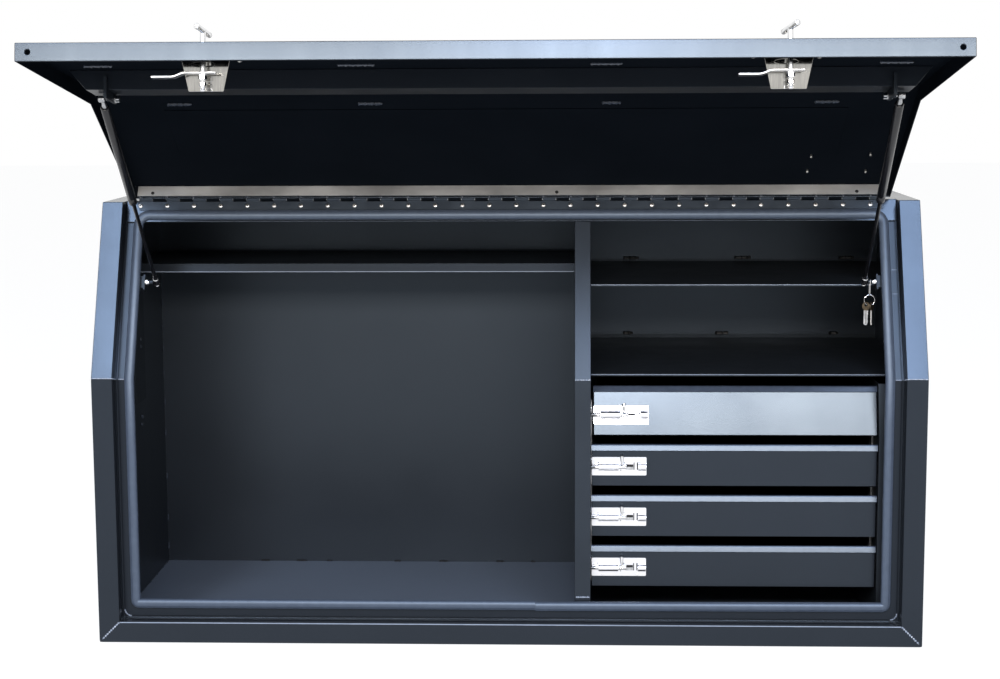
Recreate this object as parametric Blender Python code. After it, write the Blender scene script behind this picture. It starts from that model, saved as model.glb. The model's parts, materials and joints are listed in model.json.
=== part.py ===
"""Drawer tool box for a ute tray: a folded sheet box with a bent, top-hinged lid on gas struts.

Metres, +Z up. X runs along the box, Y from the front to the back, and the origin is in the middle of
the box's underside. Everything is drawn from the middle of the front's lower edge, and hangs on an
empty there. The lid and all it carries are drawn closed, and hang on an empty on the hinge axis that
holds them open.
"""

import math

import bmesh
import bpy
from mathutils import Matrix, Vector

# The box as a whole
WIDTH = 1.500
HEIGHT = 0.800
DEPTH = 0.600
KINK_HEIGHT = 0.490
SETBACK = 0.130
SHEET = 0.0025
GAP = 0.0003
OVERRUN = 0.030

# Front frame, the recess that the lid sits in, and its seal
FACE_WIDTH = 0.038
RECESS_DEPTH = 0.030
GUTTER_DEPTH = 0.033
GUTTER_WIDTH = 0.016
DRAIN_GAP = 0.004
SEAL_FRAME_SHEET = 0.0027
SEAL_FRAME_WIDTH = 0.0265
SEAL_INSET = 0.016
SEAL_RISE = 0.019
SEAL_WIDTH = 0.018
SEAL_PROUD = 0.008
ROOF_FLANGE = 0.0415
ROOF_LAP = 0.010

# Piano hinge
KNUCKLE_RADIUS = 0.004
KNUCKLE_PITCH = 0.025
HINGE_INSET = 0.0125
KNUCKLE_CLEARANCE = 0.0006
PIN_RADIUS = 0.0016
LEAF_SHEET = 0.0015
LEAF_WIDTH = 0.0206
HINGE_RISE = 0.002

# Lid
OPEN_ANGLE = math.radians(98.8)
LID_INSET = 0.050
LID_BOTTOM = 0.042
LID_RIM = 0.028
RIM_HOLE_RADIUS = 0.004
RIM_HOLE_INSET = 0.019
STRIP_SHEET = 0.0015
STRIP_WIDTH = 0.020
STRIP_INSET = 0.010
CHANNEL_SHEET = 0.002
CHANNEL_DROP = 0.145
CHANNEL_WIDTH = 0.065
CHANNEL_DEPTH = 0.034
CHANNEL_INSET = 0.018
CHANNEL_TAPER = 0.027
STIFFENER_SHEET = 0.0012
STIFFENER_LENGTH = 1.178
STIFFENER_EDGE_SHARES = (0.3213, 0.7973)
BADGE_SHEET = 0.001
BADGE_LENGTH = 0.124
BADGE_WIDTH = 0.071
BADGE_INSET = 0.154
BADGE_TOP = 0.043

# Locks
LOCK_INSET = {"left": 0.319, "right": 0.311}
LOCK_HEIGHT = 0.092
DISH_SHEET = 0.0015
DISH_PLATE_WIDTH = 0.112
DISH_PLATE_LOW = 0.022
DISH_PLATE_HIGH = 0.110
DISH_MOUTH_WIDTH = 0.080
DISH_FLOOR_WIDTH = 0.053
DISH_HIGH_MOUTH_WIDTH = 0.044
DISH_HIGH_FLOOR_WIDTH = 0.024
DISH_LOW = 0.020
DISH_HIGH = 0.098
DISH_DRAFT = 0.006
DISH_DEPTH = 0.062
DISH_HIGH_DEPTH = 0.046
SHAFT_RADIUS = 0.004
SHAFT_END = 0.066
SHAFT_CLEARANCE = 0.0008
LOCK_NUT_RADIUS = 0.0065
LOCK_NUT_HEIGHT = 0.007
HANDLE_REACH = 0.0252
HANDLE_STEM_RADIUS = 0.0045
HANDLE_LENGTH = 0.082
HANDLE_RADIUS = 0.0045
HANDLE_TURN = {"left": math.radians(3), "right": math.radians(-9)}
CAM_SHEET = 0.0028
CAM_WIDTH = 0.016
CAM_DEPTH = 0.037
CAM_CRANK = 0.006
CAM_REACH = 0.076
CAM_TAIL = 0.020
CAM_BEND_NEAR = 0.028
CAM_BEND_FAR = 0.044

# Gas struts, upper end on the closed lid and lower end on the box
STRUT_TOP_INSET = 0.110
STRUT_TOP_STANDOFF = 0.008
STRUT_TOP_RISE = 0.048
STRUT_FOOT_INSET = 0.1006
STRUT_FOOT_DEPTH = 0.0384
STRUT_FOOT_DROP = 0.1433
STRUT_TUBE_START = 0.020
STRUT_CLOSED_REACH = 0.0492
STRUT_TUBE_RADIUS = 0.0075
STRUT_BORE_RADIUS = 0.0053
STRUT_ROD_RADIUS = 0.0034
STRUT_GLAND = 0.008
STRUT_PISTON = 0.010
STRUT_PISTON_RADIUS = 0.0047
STRUT_NECK_RADIUS = 0.004
STRUT_EYE_RADIUS = 0.0065
STRUT_TOP_EYE = 0.014
STRUT_FOOT_EYE = 0.012
STUD_RADIUS = 0.004
TOP_STUD = 0.008
TOP_LUG_SHEET = 0.005
TOP_LUG_WIDTH = 0.020
TOP_LUG_LIP = 0.010
TOP_LUG_RISE = 0.020
TOP_NUT_RADIUS = 0.006
TOP_NUT_LENGTH = 0.008
FOOT_LUG_SHEET = 0.003
FOOT_LUG_WIDTH = 0.028
FOOT_LUG_DEPTH = 0.018
FOOT_TAB = 0.030
FOOT_STUD = 0.0148

# Divider and shelves
DIVIDER_X = 0.1223
DIVIDER_WIDTH = 0.029
DIVIDER_DEPTH = 0.036
DIVIDER_SHEET = 0.002
RAIL_SHELF_FRONT = 0.320
RAIL_SHELF_DROP = 0.133
RAIL_SHELF_LIP = 0.0165
RAIL_SHELF_LIP_LEAN = 0.005
SHELF_SHEET = 0.002
UPPER_SHELF_DROP = 0.154
UPPER_SHELF_CLEARANCE = 0.0024
UPPER_SHELF_BACK_LIP = 0.004
LOWER_SHELF_DROP = 0.0045
LOWER_SHELF_FRONT = 0.090
LOWER_SHELF_BACK_LIP = 0.007
SHELF_LIP = 0.0035
WALL_PLATE_SHEET = 0.0015
WALL_PLATE_FRONT = 0.330
WALL_PLATE_BACK = 0.420
WALL_PLATE_LOW = 0.385
WALL_PLATE_HIGH = 0.600

# Drawers and what they run in
DRAWER_COUNT = 4
DRAWER_FRONT = 0.075
DRAWER_LOWEST = 0.0912
DRAWER_PITCH = 0.0946
DRAWER_SIDE_GAP = 0.0025
DRAWER_FRONT_HEIGHT = 0.0775
TOP_DRAWER_FRONT_HEIGHT = 0.091
TOP_DRAWER_INSET = 0.0035
TOP_DRAWER_TILT = math.radians(14.7)
DRAWER_SHEET = 0.002
TRAY_INSET = 0.0122
TRAY_LENGTH = 0.485
TRAY_RISE = 0.003
TRAY_HEIGHT = 0.060
RUNNER_START = 0.034
RUNNER_END = 0.480
RUNNER_LOW = 0.026
RUNNER_HEIGHT = 0.011
RUNNER_WIDTH = 0.0105
RUNNER_PLAY = 0.0006
RAIL_SHEET = 0.002
RAIL_END = 0.574
RAIL_STRAP = 0.030
LINER_INSET = 0.0718
LINER_SHEET = 0.002
LINER_FLANGE = 0.040
LINER_FRONT = 0.068
LINER_TOP = 0.468
TRIM_HEIGHT = 0.012
TRIM_PROUD = 0.0035
TRIM_BACK = 0.0035
TRIM_OVERHANG = 0.001
TRIM_CROWN = 0.0025

# Barrel bolts, measured from a drawer front's left end
BOLT_PLATE_LENGTH = 0.100
BOLT_PLATE_HEIGHT = 0.034
BOLT_PLATE_SHEET = 0.0015
BOLT_HEIGHT = 0.0365
BOLT_STANDOFF = 0.0055
BARREL_RADIUS = 0.0065
BARREL_START = 0.0125
BARREL_END = 0.0475
BARREL_FOOT = 0.0055
KEEPER_START = 0.085
KEEPER_END = 0.099
BOLT_ROD_RADIUS = 0.0035
BOLT_ROD_PLAY = 0.0005
BOLT_ROD_LENGTH = 0.092
BOLT_HOLE_RADIUS = 0.0048
KNOB_PLACE = 0.0555
KNOB_RADIUS = 0.003
KNOB_REACH = 0.021

# Keys on the right strut's lower stud
LINK_WIRE = 0.0008
LINK_HEIGHT = 0.032
LINK_INSIDE = 0.0105
RING_RADIUS = 0.0095
RING_WIRE = 0.0008
KEY_BOW_RADIUS = 0.0075
KEY_HOLE_RADIUS = 0.0032
KEY_HOLE_INSET = 0.0047
KEY_LENGTH = 0.042
KEY_BLADE_WIDTH = 0.006
KEY_SHEET = 0.0022
KEY_SPREAD = math.radians(34)
KEY_TURN = math.radians(28)
KEY_PLACE = 0.0037

# How finely round pieces are faceted
FINE_SIDES = 16
SIDES = 12
COARSE_SIDES = 8

FINISHES = {
    "powder_coat": ((0.020, 0.022, 0.026), 0.45, 0.0),
    "bare_aluminium": ((0.42, 0.41, 0.39), 0.38, 1.0),
    "stainless": ((0.62, 0.60, 0.55), 0.28, 1.0),
    "chrome": ((0.78, 0.78, 0.80), 0.12, 1.0),
    "zinc_steel": ((0.60, 0.61, 0.63), 0.30, 1.0),
    "black_paint": ((0.012, 0.012, 0.014), 0.30, 0.0),
    "seal_rubber": ((0.035, 0.038, 0.045), 0.60, 0.0),
    "brass": ((0.55, 0.47, 0.30), 0.35, 1.0),
}

HALF_WIDTH = WIDTH / 2
WALL = HALF_WIDTH - SHEET
OPENING = HALF_WIDTH - FACE_WIDTH
ROOF_UNDERSIDE = HEIGHT - SHEET
BACK_FACE = DEPTH - SHEET
SLOPE = math.atan2(SETBACK, HEIGHT - KINK_HEIGHT)
SLOPE_FRAME = Matrix.Translation((0, SETBACK, HEIGHT)) @ Matrix.Rotation(-SLOPE, 4, "X")
ROOF_CORNER_UP = RECESS_DEPTH * math.tan(SLOPE)
HINGE_DEPTH = RECESS_DEPTH - KNUCKLE_RADIUS
HINGE_UP = ROOF_CORNER_UP + HINGE_RISE
HINGE_AXIS = SLOPE_FRAME @ Vector((0, HINGE_DEPTH, HINGE_UP))
LID_TOP_UP = HINGE_UP - KNUCKLE_RADIUS - GAP
SIDE_SIGN = {"left": -1, "right": 1}

LID_WIDTH = WIDTH - LID_INSET * 2
HINGE_LENGTH = LID_WIDTH - HINGE_INSET * 2
KNUCKLE_COUNT = round(HINGE_LENGTH / KNUCKLE_PITCH)
KNUCKLE_LENGTH = HINGE_LENGTH / KNUCKLE_COUNT
STRIP_LENGTH = LID_WIDTH - STRIP_INSET * 2
CHANNEL_LENGTH = LID_WIDTH - CHANNEL_INSET * 2
CHANNEL_HIGH = KINK_HEIGHT - CHANNEL_DROP
CHANNEL_LOW = CHANNEL_HIGH - CHANNEL_WIDTH
SLOPE_LENGTH = math.hypot(SETBACK, HEIGHT - KINK_HEIGHT)
STIFFENER_TOP, STIFFENER_LOW = (share * SLOPE_LENGTH for share in STIFFENER_EDGE_SHARES)
BADGE_X = HALF_WIDTH - BADGE_INSET
LOCK_X = {side: sign * (HALF_WIDTH - LOCK_INSET[side]) for side, sign in SIDE_SIGN.items()}

STRUT_TOP = Vector(
    (
        HALF_WIDTH - STRUT_TOP_INSET,
        CHANNEL_DEPTH + STRUT_TOP_STANDOFF,
        CHANNEL_LOW + STRUT_TOP_RISE,
    )
)
STRUT_FOOT = SLOPE_FRAME @ Vector(
    (HALF_WIDTH - STRUT_FOOT_INSET, STRUT_FOOT_DEPTH, -STRUT_FOOT_DROP)
)
STRUT_TUBE_END = (STRUT_FOOT - STRUT_TOP).length - STRUT_CLOSED_REACH

FOOT_LUG_BACK = Vector(
    (
        0,
        GUTTER_DEPTH + SHEET + GAP + FOOT_LUG_DEPTH,
        FOOT_LUG_WIDTH / 2 - STRUT_FOOT_DROP,
    )
)
UPPER_SHELF_FRONT = (SLOPE_FRAME @ FOOT_LUG_BACK).y + UPPER_SHELF_CLEARANCE
RAIL_SHELF_HEIGHT = HEIGHT - RAIL_SHELF_DROP
UPPER_SHELF_HEIGHT = HEIGHT - UPPER_SHELF_DROP
LOWER_SHELF_HEIGHT = KINK_HEIGHT - LOWER_SHELF_DROP
LINER_X = WALL - LINER_INSET
DRAWER_FRONT_LEFT = DIVIDER_X + DIVIDER_WIDTH + DRAWER_SIDE_GAP
DRAWER_FRONT_WIDTH = LINER_X - DRAWER_SIDE_GAP - DRAWER_FRONT_LEFT
DRAWER_CENTRE = DRAWER_FRONT_LEFT + DRAWER_FRONT_WIDTH / 2
TRAY_WIDTH = DRAWER_FRONT_WIDTH - TRAY_INSET * 2


# Scene and materials
def clear_scene():
    for obj in list(bpy.data.objects):
        bpy.data.objects.remove(obj, do_unlink=True)


def new_collection(name, hidden):
    group = bpy.data.collections.new(name)
    bpy.context.scene.collection.children.link(group)
    group.hide_render = hidden
    return group


def give_material(obj, finish):
    colour, roughness, metallic = FINISHES[finish]
    material = bpy.data.materials.new(f"{obj.name}_{finish}")
    material.use_nodes = True
    shader = material.node_tree.nodes["Principled BSDF"]
    shader.inputs["Base Color"].default_value = (*colour, 1)
    shader.inputs["Roughness"].default_value = roughness
    shader.inputs["Metallic"].default_value = metallic
    obj.data.materials.clear()
    obj.data.materials.append(material)


# Solids
def object_from(bm, name):
    bmesh.ops.recalc_face_normals(bm, faces=bm.faces)
    mesh = bpy.data.meshes.new(name)
    bm.to_mesh(mesh)
    bm.free()
    obj = bpy.data.objects.new(name, mesh)
    PARTS.objects.link(obj)
    return obj


def box(name, low, high):
    """A box between two corners."""
    low, high = Vector(low), Vector(high)
    bm = bmesh.new()
    bmesh.ops.create_cube(bm, size=1)
    bmesh.ops.scale(bm, vec=high - low, verts=bm.verts)
    bmesh.ops.translate(bm, vec=(low + high) / 2, verts=bm.verts)
    return object_from(bm, name)


def cylinder(name, start, end, radius, sides=SIDES, end_radius=None):
    """A round bar from start to end, or a cone where end_radius differs."""
    start, end = Vector(start), Vector(end)
    along = end - start
    bm = bmesh.new()
    bmesh.ops.create_cone(
        bm,
        cap_ends=True,
        segments=sides,
        radius1=radius,
        radius2=radius if end_radius is None else end_radius,
        depth=along.length,
    )
    turn = along.to_track_quat("Z", "Y").to_matrix().to_4x4()
    bmesh.ops.transform(bm, matrix=Matrix.Translation((start + end) / 2) @ turn, verts=bm.verts)
    return object_from(bm, name)


def mesh_of_curve(curve, frame, name):
    """Turns a curve into a closed mesh object, placed by frame."""
    guide = bpy.data.objects.new(name, curve)
    PARTS.objects.link(guide)
    bpy.context.view_layer.update()
    graph = bpy.context.evaluated_depsgraph_get()
    mesh = bpy.data.meshes.new_from_object(guide.evaluated_get(graph))
    bpy.data.objects.remove(guide)
    bm = bmesh.new()
    bm.from_mesh(mesh)
    bpy.data.meshes.remove(mesh)
    bmesh.ops.remove_doubles(bm, verts=bm.verts, dist=GAP / 10)
    bmesh.ops.transform(bm, matrix=frame, verts=bm.verts)
    return object_from(bm, name)


OUTLINE_FRAMES = {
    "yz": Matrix(((0, 0, 1, 0), (1, 0, 0, 0), (0, 1, 0, 0), (0, 0, 0, 1))),
    "xy": Matrix.Identity(4),
    "xz": Matrix(((1, 0, 0, 0), (0, 0, -1, 0), (0, 1, 0, 0), (0, 0, 0, 1))),
}


def prism(name, outline, low, high, plane="yz"):
    """A flat outline in a plane, drawn out from low to high along the third axis."""
    curve = bpy.data.curves.new(name, "CURVE")
    curve.dimensions = "2D"
    curve.fill_mode = "BOTH"
    curve.extrude = (high - low) / 2
    spline = curve.splines.new("POLY")
    spline.points.add(len(outline) - 1)
    for point, place in zip(spline.points, outline):
        point.co = (*place, 0, 1)
    spline.use_cyclic_u = True
    middle = (low + high) / 2
    shift = Matrix.Translation((0, 0, -middle if plane == "xz" else middle))
    return mesh_of_curve(curve, OUTLINE_FRAMES[plane] @ shift, name)


def combine(piece, tool, operation):
    """Joins a tool to a piece, or cuts it out, with a live Boolean."""
    modifier = piece.modifiers.new(tool.name, "BOOLEAN")
    modifier.operation = operation
    modifier.object = tool
    modifier.solver = "EXACT"
    PARTS.objects.unlink(tool)
    CUTTERS.objects.link(tool)
    tool.hide_render = True
    tool.display_type = "WIRE"


def join(piece, *tools):
    for tool in tools:
        combine(piece, tool, "UNION")


def cut(piece, *tools):
    for tool in tools:
        combine(piece, tool, "DIFFERENCE")


def apply_matrix(obj, matrix):
    obj.data.transform(matrix)
    return obj


def attach(piece, pivot, place=(0, 0, 0)):
    """Hangs a piece, and the tools that shape it, on a pivot."""
    piece.parent = pivot
    piece.location = place
    for modifier in piece.modifiers:
        if modifier.type == "BOOLEAN":
            attach(modifier.object, pivot, place)


def new_pivot(name, matrix, parent=None):
    """An empty on a joint. matrix is its place in its parent's frame."""
    pivot = bpy.data.objects.new(name, None)
    pivot.empty_display_size = FACE_WIDTH
    PARTS.objects.link(pivot)
    pivot.parent = parent
    pivot.matrix_basis = matrix
    return pivot


# The bent front and planes parallel to it
def kink_at(depth):
    """Height of the bend in the plane that lies depth behind the front."""
    return KINK_HEIGHT - depth * math.tan(SLOPE / 2)


def front_y(depth, height):
    """How far back that plane is at a height."""
    return depth + max(0, height - kink_at(depth)) * math.tan(SLOPE)


def front_line(depth, low, high):
    return [(depth, low), (depth, kink_at(depth)), (front_y(depth, high), high)]


def bent_slab(name, near, far, half, low, high):
    """A slab between two such planes."""
    outline = front_line(near, low, high) + front_line(far, low, high)[::-1]
    return prism(name, outline, -half, half)


def side_outline(depth, low, high, back):
    """A panel seen from the side: bent front edge, straight back."""
    return front_line(depth, low, high) + [(back, high), (back, low)]


def slope_box(name, low, high):
    """A box in the slope's frame: x, depth behind the slope, and up the slope from its top edge."""
    return apply_matrix(box(name, low, high), SLOPE_FRAME)


def slope_height(depth, up):
    return (SLOPE_FRAME @ Vector((0, depth, up))).z


# Shell of the box
def make_shell():
    behind_face = SHEET + GAP
    inside = WALL - GAP
    floor = box("floor_panel", (-inside, behind_face, 0), (inside, BACK_FACE - GAP, SHEET))
    outline = side_outline(behind_face, 0, ROOF_UNDERSIDE - GAP, BACK_FACE - GAP)
    left = prism("left_side_panel", outline, -HALF_WIDTH, -WALL)
    right = prism("right_side_panel", outline, WALL, HALF_WIDTH)
    back = box(
        "back_panel",
        (-HALF_WIDTH, BACK_FACE, 0),
        (HALF_WIDTH, DEPTH, ROOF_UNDERSIDE - GAP),
    )
    for piece in (floor, left, right, back, make_roof(behind_face)):
        give_material(piece, "powder_coat")


def make_roof(behind_face):
    """The roof, whose front edge folds down the slope as the flange that carries the hinge."""
    fold_front = SLOPE_FRAME @ Vector((0, RECESS_DEPTH, ROOF_CORNER_UP))
    end_front = SLOPE_FRAME @ Vector((0, RECESS_DEPTH, ROOF_CORNER_UP - ROOF_FLANGE))
    end_back = SLOPE_FRAME @ Vector((0, RECESS_DEPTH + SHEET, ROOF_CORNER_UP - ROOF_FLANGE))
    fold_back = front_y(RECESS_DEPTH + SHEET, ROOF_UNDERSIDE)
    outline = [
        (DEPTH, HEIGHT),
        (fold_front.y, fold_front.z),
        (end_front.y, end_front.z),
        (end_back.y, end_back.z),
        (fold_back, ROOF_UNDERSIDE),
        (DEPTH, ROOF_UNDERSIDE),
    ]
    reach = OPENING - GAP
    roof = prism("roof_panel", outline, -reach, reach)
    front = front_y(behind_face, HEIGHT)
    for sign, side in ((-1, "left"), (1, "right")):
        ends = sorted((sign * (reach - ROOF_LAP), sign * HALF_WIDTH))
        back_wing = box(
            f"roof_{side}_strip",
            (ends[0], fold_back + ROOF_LAP, ROOF_UNDERSIDE),
            (ends[1], DEPTH, HEIGHT),
        )
        ends = sorted((sign * (reach + GAP), sign * HALF_WIDTH))
        front_wing = box(
            f"roof_{side}_corner",
            (ends[0], front, ROOF_UNDERSIDE),
            (ends[1], fold_back + ROOF_LAP * 2, HEIGHT),
        )
        join(roof, back_wing, front_wing)
    return roof


def make_front_frame():
    """Face, recess wall and gutter floor, down both sides and along the bottom."""
    top = ROOF_UNDERSIDE - GAP
    frame = bent_slab("front_frame", 0, SHEET, HALF_WIDTH, 0, HEIGHT)
    gutter_back = GUTTER_DEPTH + SHEET
    recess = bent_slab("recess", SHEET / 2, gutter_back, OPENING + SHEET, FACE_WIDTH - SHEET, top)
    join(frame, recess)
    mouth = bent_slab(
        "recess_mouth", -OVERRUN, GUTTER_DEPTH, OPENING, FACE_WIDTH, HEIGHT + OVERRUN
    )
    doorway = bent_slab(
        "doorway",
        -OVERRUN,
        gutter_back + OVERRUN,
        OPENING - GUTTER_WIDTH,
        FACE_WIDTH + GUTTER_WIDTH,
        HEIGHT + OVERRUN,
    )
    cut(frame, mouth, doorway)
    give_material(frame, "powder_coat")


def make_seal_and_its_frame():
    flange_end = slope_height(RECESS_DEPTH + SHEET, ROOF_CORNER_UP - ROOF_FLANGE) - GAP
    outer = OPENING - DRAIN_GAP
    inner = outer - SEAL_FRAME_WIDTH
    low = FACE_WIDTH + DRAIN_GAP
    back = RECESS_DEPTH + SEAL_FRAME_SHEET
    frame = bent_slab("seal_frame", RECESS_DEPTH, back, outer, low, flange_end)
    hole = bent_slab(
        "seal_frame_hole",
        RECESS_DEPTH - OVERRUN,
        back + OVERRUN,
        inner,
        low + SEAL_FRAME_WIDTH,
        flange_end + OVERRUN,
    )
    cut(frame, hole)
    give_material(frame, "powder_coat")

    seat = RECESS_DEPTH - GAP
    outer = OPENING - SEAL_INSET
    low = FACE_WIDTH + SEAL_RISE
    high = slope_height(seat, ROOF_CORNER_UP + HINGE_RISE - LEAF_WIDTH - GAP * 2)
    seal = bent_slab("door_seal", seat - SEAL_PROUD, seat, outer, low, high)
    hole = bent_slab(
        "door_seal_hole",
        seat - SEAL_PROUD - OVERRUN / 2,
        seat + OVERRUN,
        outer - SEAL_WIDTH,
        low + SEAL_WIDTH,
        high - SEAL_WIDTH,
    )
    cut(seal, hole)
    give_material(seal, "seal_rubber")


# Piano hinge
def make_leaf(name, outline, own_knuckles):
    """A leaf with its barrel, bored for the pin and cut back where the other leaf's knuckles are."""
    leaf = apply_matrix(
        prism(name, outline, -HINGE_LENGTH / 2, HINGE_LENGTH / 2), SLOPE_FRAME
    )
    start, end = (SLOPE_FRAME @ Vector((sign * HINGE_LENGTH / 2, HINGE_DEPTH, HINGE_UP)) for sign in (-1, 1))
    barrel = cylinder(f"{name}_barrel", start, end, KNUCKLE_RADIUS, COARSE_SIDES)
    bore_radius = PIN_RADIUS + KNUCKLE_CLEARANCE
    over = Vector((OVERRUN, 0, 0))
    bore = cylinder(f"{name}_bore", start - over, end + over, bore_radius, COARSE_SIDES)
    join(leaf, barrel)
    cut(leaf, bore)
    reach = KNUCKLE_RADIUS + KNUCKLE_CLEARANCE
    notches = bmesh.new()
    for index in range(KNUCKLE_COUNT):
        if index % 2 == own_knuckles:
            continue
        middle = (index + 0.5) * KNUCKLE_LENGTH - HINGE_LENGTH / 2
        size = Vector((KNUCKLE_LENGTH + KNUCKLE_CLEARANCE * 2, reach * 2, reach * 2))
        place = Matrix.Translation((middle, HINGE_DEPTH, HINGE_UP)) @ Matrix.Diagonal((*size, 1))
        bmesh.ops.create_cube(notches, size=1, matrix=SLOPE_FRAME @ place)
    cut(leaf, object_from(notches, f"{name}_notches"))
    give_material(leaf, "powder_coat")
    return leaf


def make_hinge(lid_pivot):
    near = RECESS_DEPTH - LEAF_SHEET
    low = HINGE_UP - LEAF_WIDTH
    box_leaf = [(near, HINGE_UP), (RECESS_DEPTH - GAP, HINGE_UP), (RECESS_DEPTH - GAP, low), (near, low)]
    make_leaf("hinge_box_leaf", box_leaf, 0)
    high = HINGE_UP - KNUCKLE_RADIUS + LEAF_SHEET
    low = HINGE_UP - KNUCKLE_RADIUS
    far = HINGE_DEPTH - LEAF_WIDTH
    lid_leaf = [(HINGE_DEPTH, high), (far, high), (far, low), (HINGE_DEPTH, low)]
    leaf = make_leaf("hinge_lid_leaf", lid_leaf, 1)
    attach(leaf, lid_pivot, -HINGE_AXIS)
    end = Vector((HINGE_LENGTH / 2 - GAP, 0, 0))
    pin = cylinder("hinge_pin", HINGE_AXIS - end, HINGE_AXIS + end, PIN_RADIUS, COARSE_SIDES)
    give_material(pin, "zinc_steel")


# Lid
def lid_line(depth, low, up):
    """The lid's line, depth behind its outer skin, from height low to up the slope."""
    top = SLOPE_FRAME @ Vector((0, depth, up))
    return [(depth, low), (depth, kink_at(depth)), (top.y, top.z)]


def make_lid(lid_pivot):
    half = LID_WIDTH / 2
    outline = lid_line(0, LID_BOTTOM, LID_TOP_UP) + lid_line(LID_RIM, LID_BOTTOM, LID_TOP_UP)[::-1]
    lid = prism("lid_shell", outline, -half, half)
    low, up = LID_BOTTOM + SHEET, LID_TOP_UP - SHEET
    outline = lid_line(SHEET, low, up) + lid_line(LID_RIM + OVERRUN, low, up)[::-1]
    cut(lid, prism("lid_hollow", outline, SHEET - half, half - SHEET))
    for side, sign in SIDE_SIGN.items():
        x = sign * (half - RIM_HOLE_INSET)
        start = (x, LID_RIM / 2, LID_BOTTOM - OVERRUN)
        end = (x, LID_RIM / 2, LID_BOTTOM + OVERRUN)
        cut(lid, cylinder(f"rim_hole_{side}", start, end, RIM_HOLE_RADIUS))
        cut(lid, lock_opening(side))
        x = LOCK_X[side]
        start = (x, -OVERRUN, LOCK_HEIGHT)
        end = (x, OVERRUN / 2, LOCK_HEIGHT)
        cut(lid, cylinder(f"shaft_hole_{side}", start, end, SHAFT_RADIUS + SHAFT_CLEARANCE))
    give_material(lid, "powder_coat")

    half = STRIP_LENGTH / 2
    high = LID_TOP_UP - SHEET - GAP
    near = SHEET + SHEET / 2
    strip = slope_box("lid_backing_strip", (-half, near, high - STRIP_SHEET), (half, near + STRIP_WIDTH, high))
    give_material(strip, "bare_aluminium")

    half = STIFFENER_LENGTH / 2
    near = SHEET + GAP
    stiffener = slope_box(
        "lid_stiffener",
        (-half, near, -STIFFENER_LOW),
        (half, near + STIFFENER_SHEET, -STIFFENER_TOP),
    )
    give_material(stiffener, "powder_coat")

    half = BADGE_LENGTH / 2
    badge = slope_box(
        "badge_plate",
        (BADGE_X - half, -GAP - BADGE_SHEET, -BADGE_TOP - BADGE_WIDTH),
        (BADGE_X + half, -GAP, -BADGE_TOP),
    )
    give_material(badge, "bare_aluminium")
    for piece in (lid, strip, stiffener, badge, make_channel()):
        attach(piece, lid_pivot, -HINGE_AXIS)


def make_channel():
    """The stiffening channel across the lid, open to the skin, its ends cut back to clear the seal."""
    near = SHEET + GAP
    slant = CHANNEL_TAPER / (CHANNEL_DEPTH - near)

    def outline(inset, front, back):
        """Half lengths at front and back, for a channel wall that lies inset inside the outer one."""
        ends = [CHANNEL_LENGTH / 2 - inset - slant * (depth - near) for depth in (front, back)]
        return [(-ends[0], front), (ends[0], front), (ends[1], back), (-ends[1], back)]

    channel = prism(
        "lid_channel", outline(0, near, CHANNEL_DEPTH), CHANNEL_LOW, CHANNEL_HIGH, "xy"
    )
    hollow = prism(
        "channel_hollow",
        outline(CHANNEL_SHEET, near - SHEET, CHANNEL_DEPTH - CHANNEL_SHEET),
        CHANNEL_LOW + CHANNEL_SHEET,
        CHANNEL_HIGH - CHANNEL_SHEET,
        "xy",
    )
    cut(channel, hollow)
    give_material(channel, "powder_coat")
    return channel


# Locks
def lock_pan(name, x, near, inset):
    """The dish's pan, drawn in towards its floor and towards its high end."""
    low = LOCK_HEIGHT + DISH_LOW + inset
    high = LOCK_HEIGHT + DISH_HIGH - inset
    pan = box(name, (x - DISH_MOUTH_WIDTH, near, low), (x + DISH_MOUTH_WIDTH, DISH_DEPTH, high))
    middle = (low + high) / 2
    for vertex in pan.data.vertices:
        place = vertex.co
        if place.z < middle:
            widths, depth, draft = (DISH_MOUTH_WIDTH, DISH_FLOOR_WIDTH), DISH_DEPTH, DISH_DRAFT
        else:
            widths = (DISH_HIGH_MOUTH_WIDTH, DISH_HIGH_FLOOR_WIDTH)
            depth, draft = DISH_HIGH_DEPTH, -DISH_DRAFT
        deep = place.y > (near + DISH_HIGH_DEPTH) / 2
        place.x = x + math.copysign(widths[deep] / 2 - inset, place.x - x)
        if deep:
            place.y = depth - inset
            place.z += draft
    return pan


def lock_opening(side):
    """The hole in the lid that a dish drops into."""
    x = LOCK_X[side]
    low = LOCK_HEIGHT + DISH_LOW - GAP * 2
    high = LOCK_HEIGHT + DISH_HIGH + GAP * 2
    half = DISH_MOUTH_WIDTH / 2 + GAP * 2
    high_half = DISH_HIGH_MOUTH_WIDTH / 2 + GAP * 2
    outline = [(x - half, low), (x + half, low), (x + high_half, high), (x - high_half, high)]
    return prism(f"dish_opening_{side}", outline, -OVERRUN, OVERRUN / 2, "xz")


def make_dish(side):
    """The pressed dish of a T-handle lock: a face plate outside, and a pan through the lid."""
    x = LOCK_X[side]
    half = DISH_PLATE_WIDTH / 2
    plate_back = -GAP
    plate_front = plate_back - DISH_SHEET
    dish = box(
        f"{side}_lock_dish",
        (x - half, plate_front, LOCK_HEIGHT - DISH_PLATE_LOW),
        (x + half, plate_back, LOCK_HEIGHT + DISH_PLATE_HIGH),
    )
    pan = lock_pan(f"{side}_pan", x, (plate_front + plate_back) / 2, 0)
    hollow = lock_pan(f"{side}_pan_hollow", x, plate_front - DISH_SHEET, DISH_SHEET)
    start = (x, plate_front - OVERRUN, LOCK_HEIGHT)
    end = (x, OVERRUN, LOCK_HEIGHT)
    hole = cylinder(f"{side}_dish_hole", start, end, SHAFT_RADIUS + SHAFT_CLEARANCE)
    join(dish, pan)
    cut(dish, hollow, hole)
    give_material(dish, "stainless")
    return dish


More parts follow.
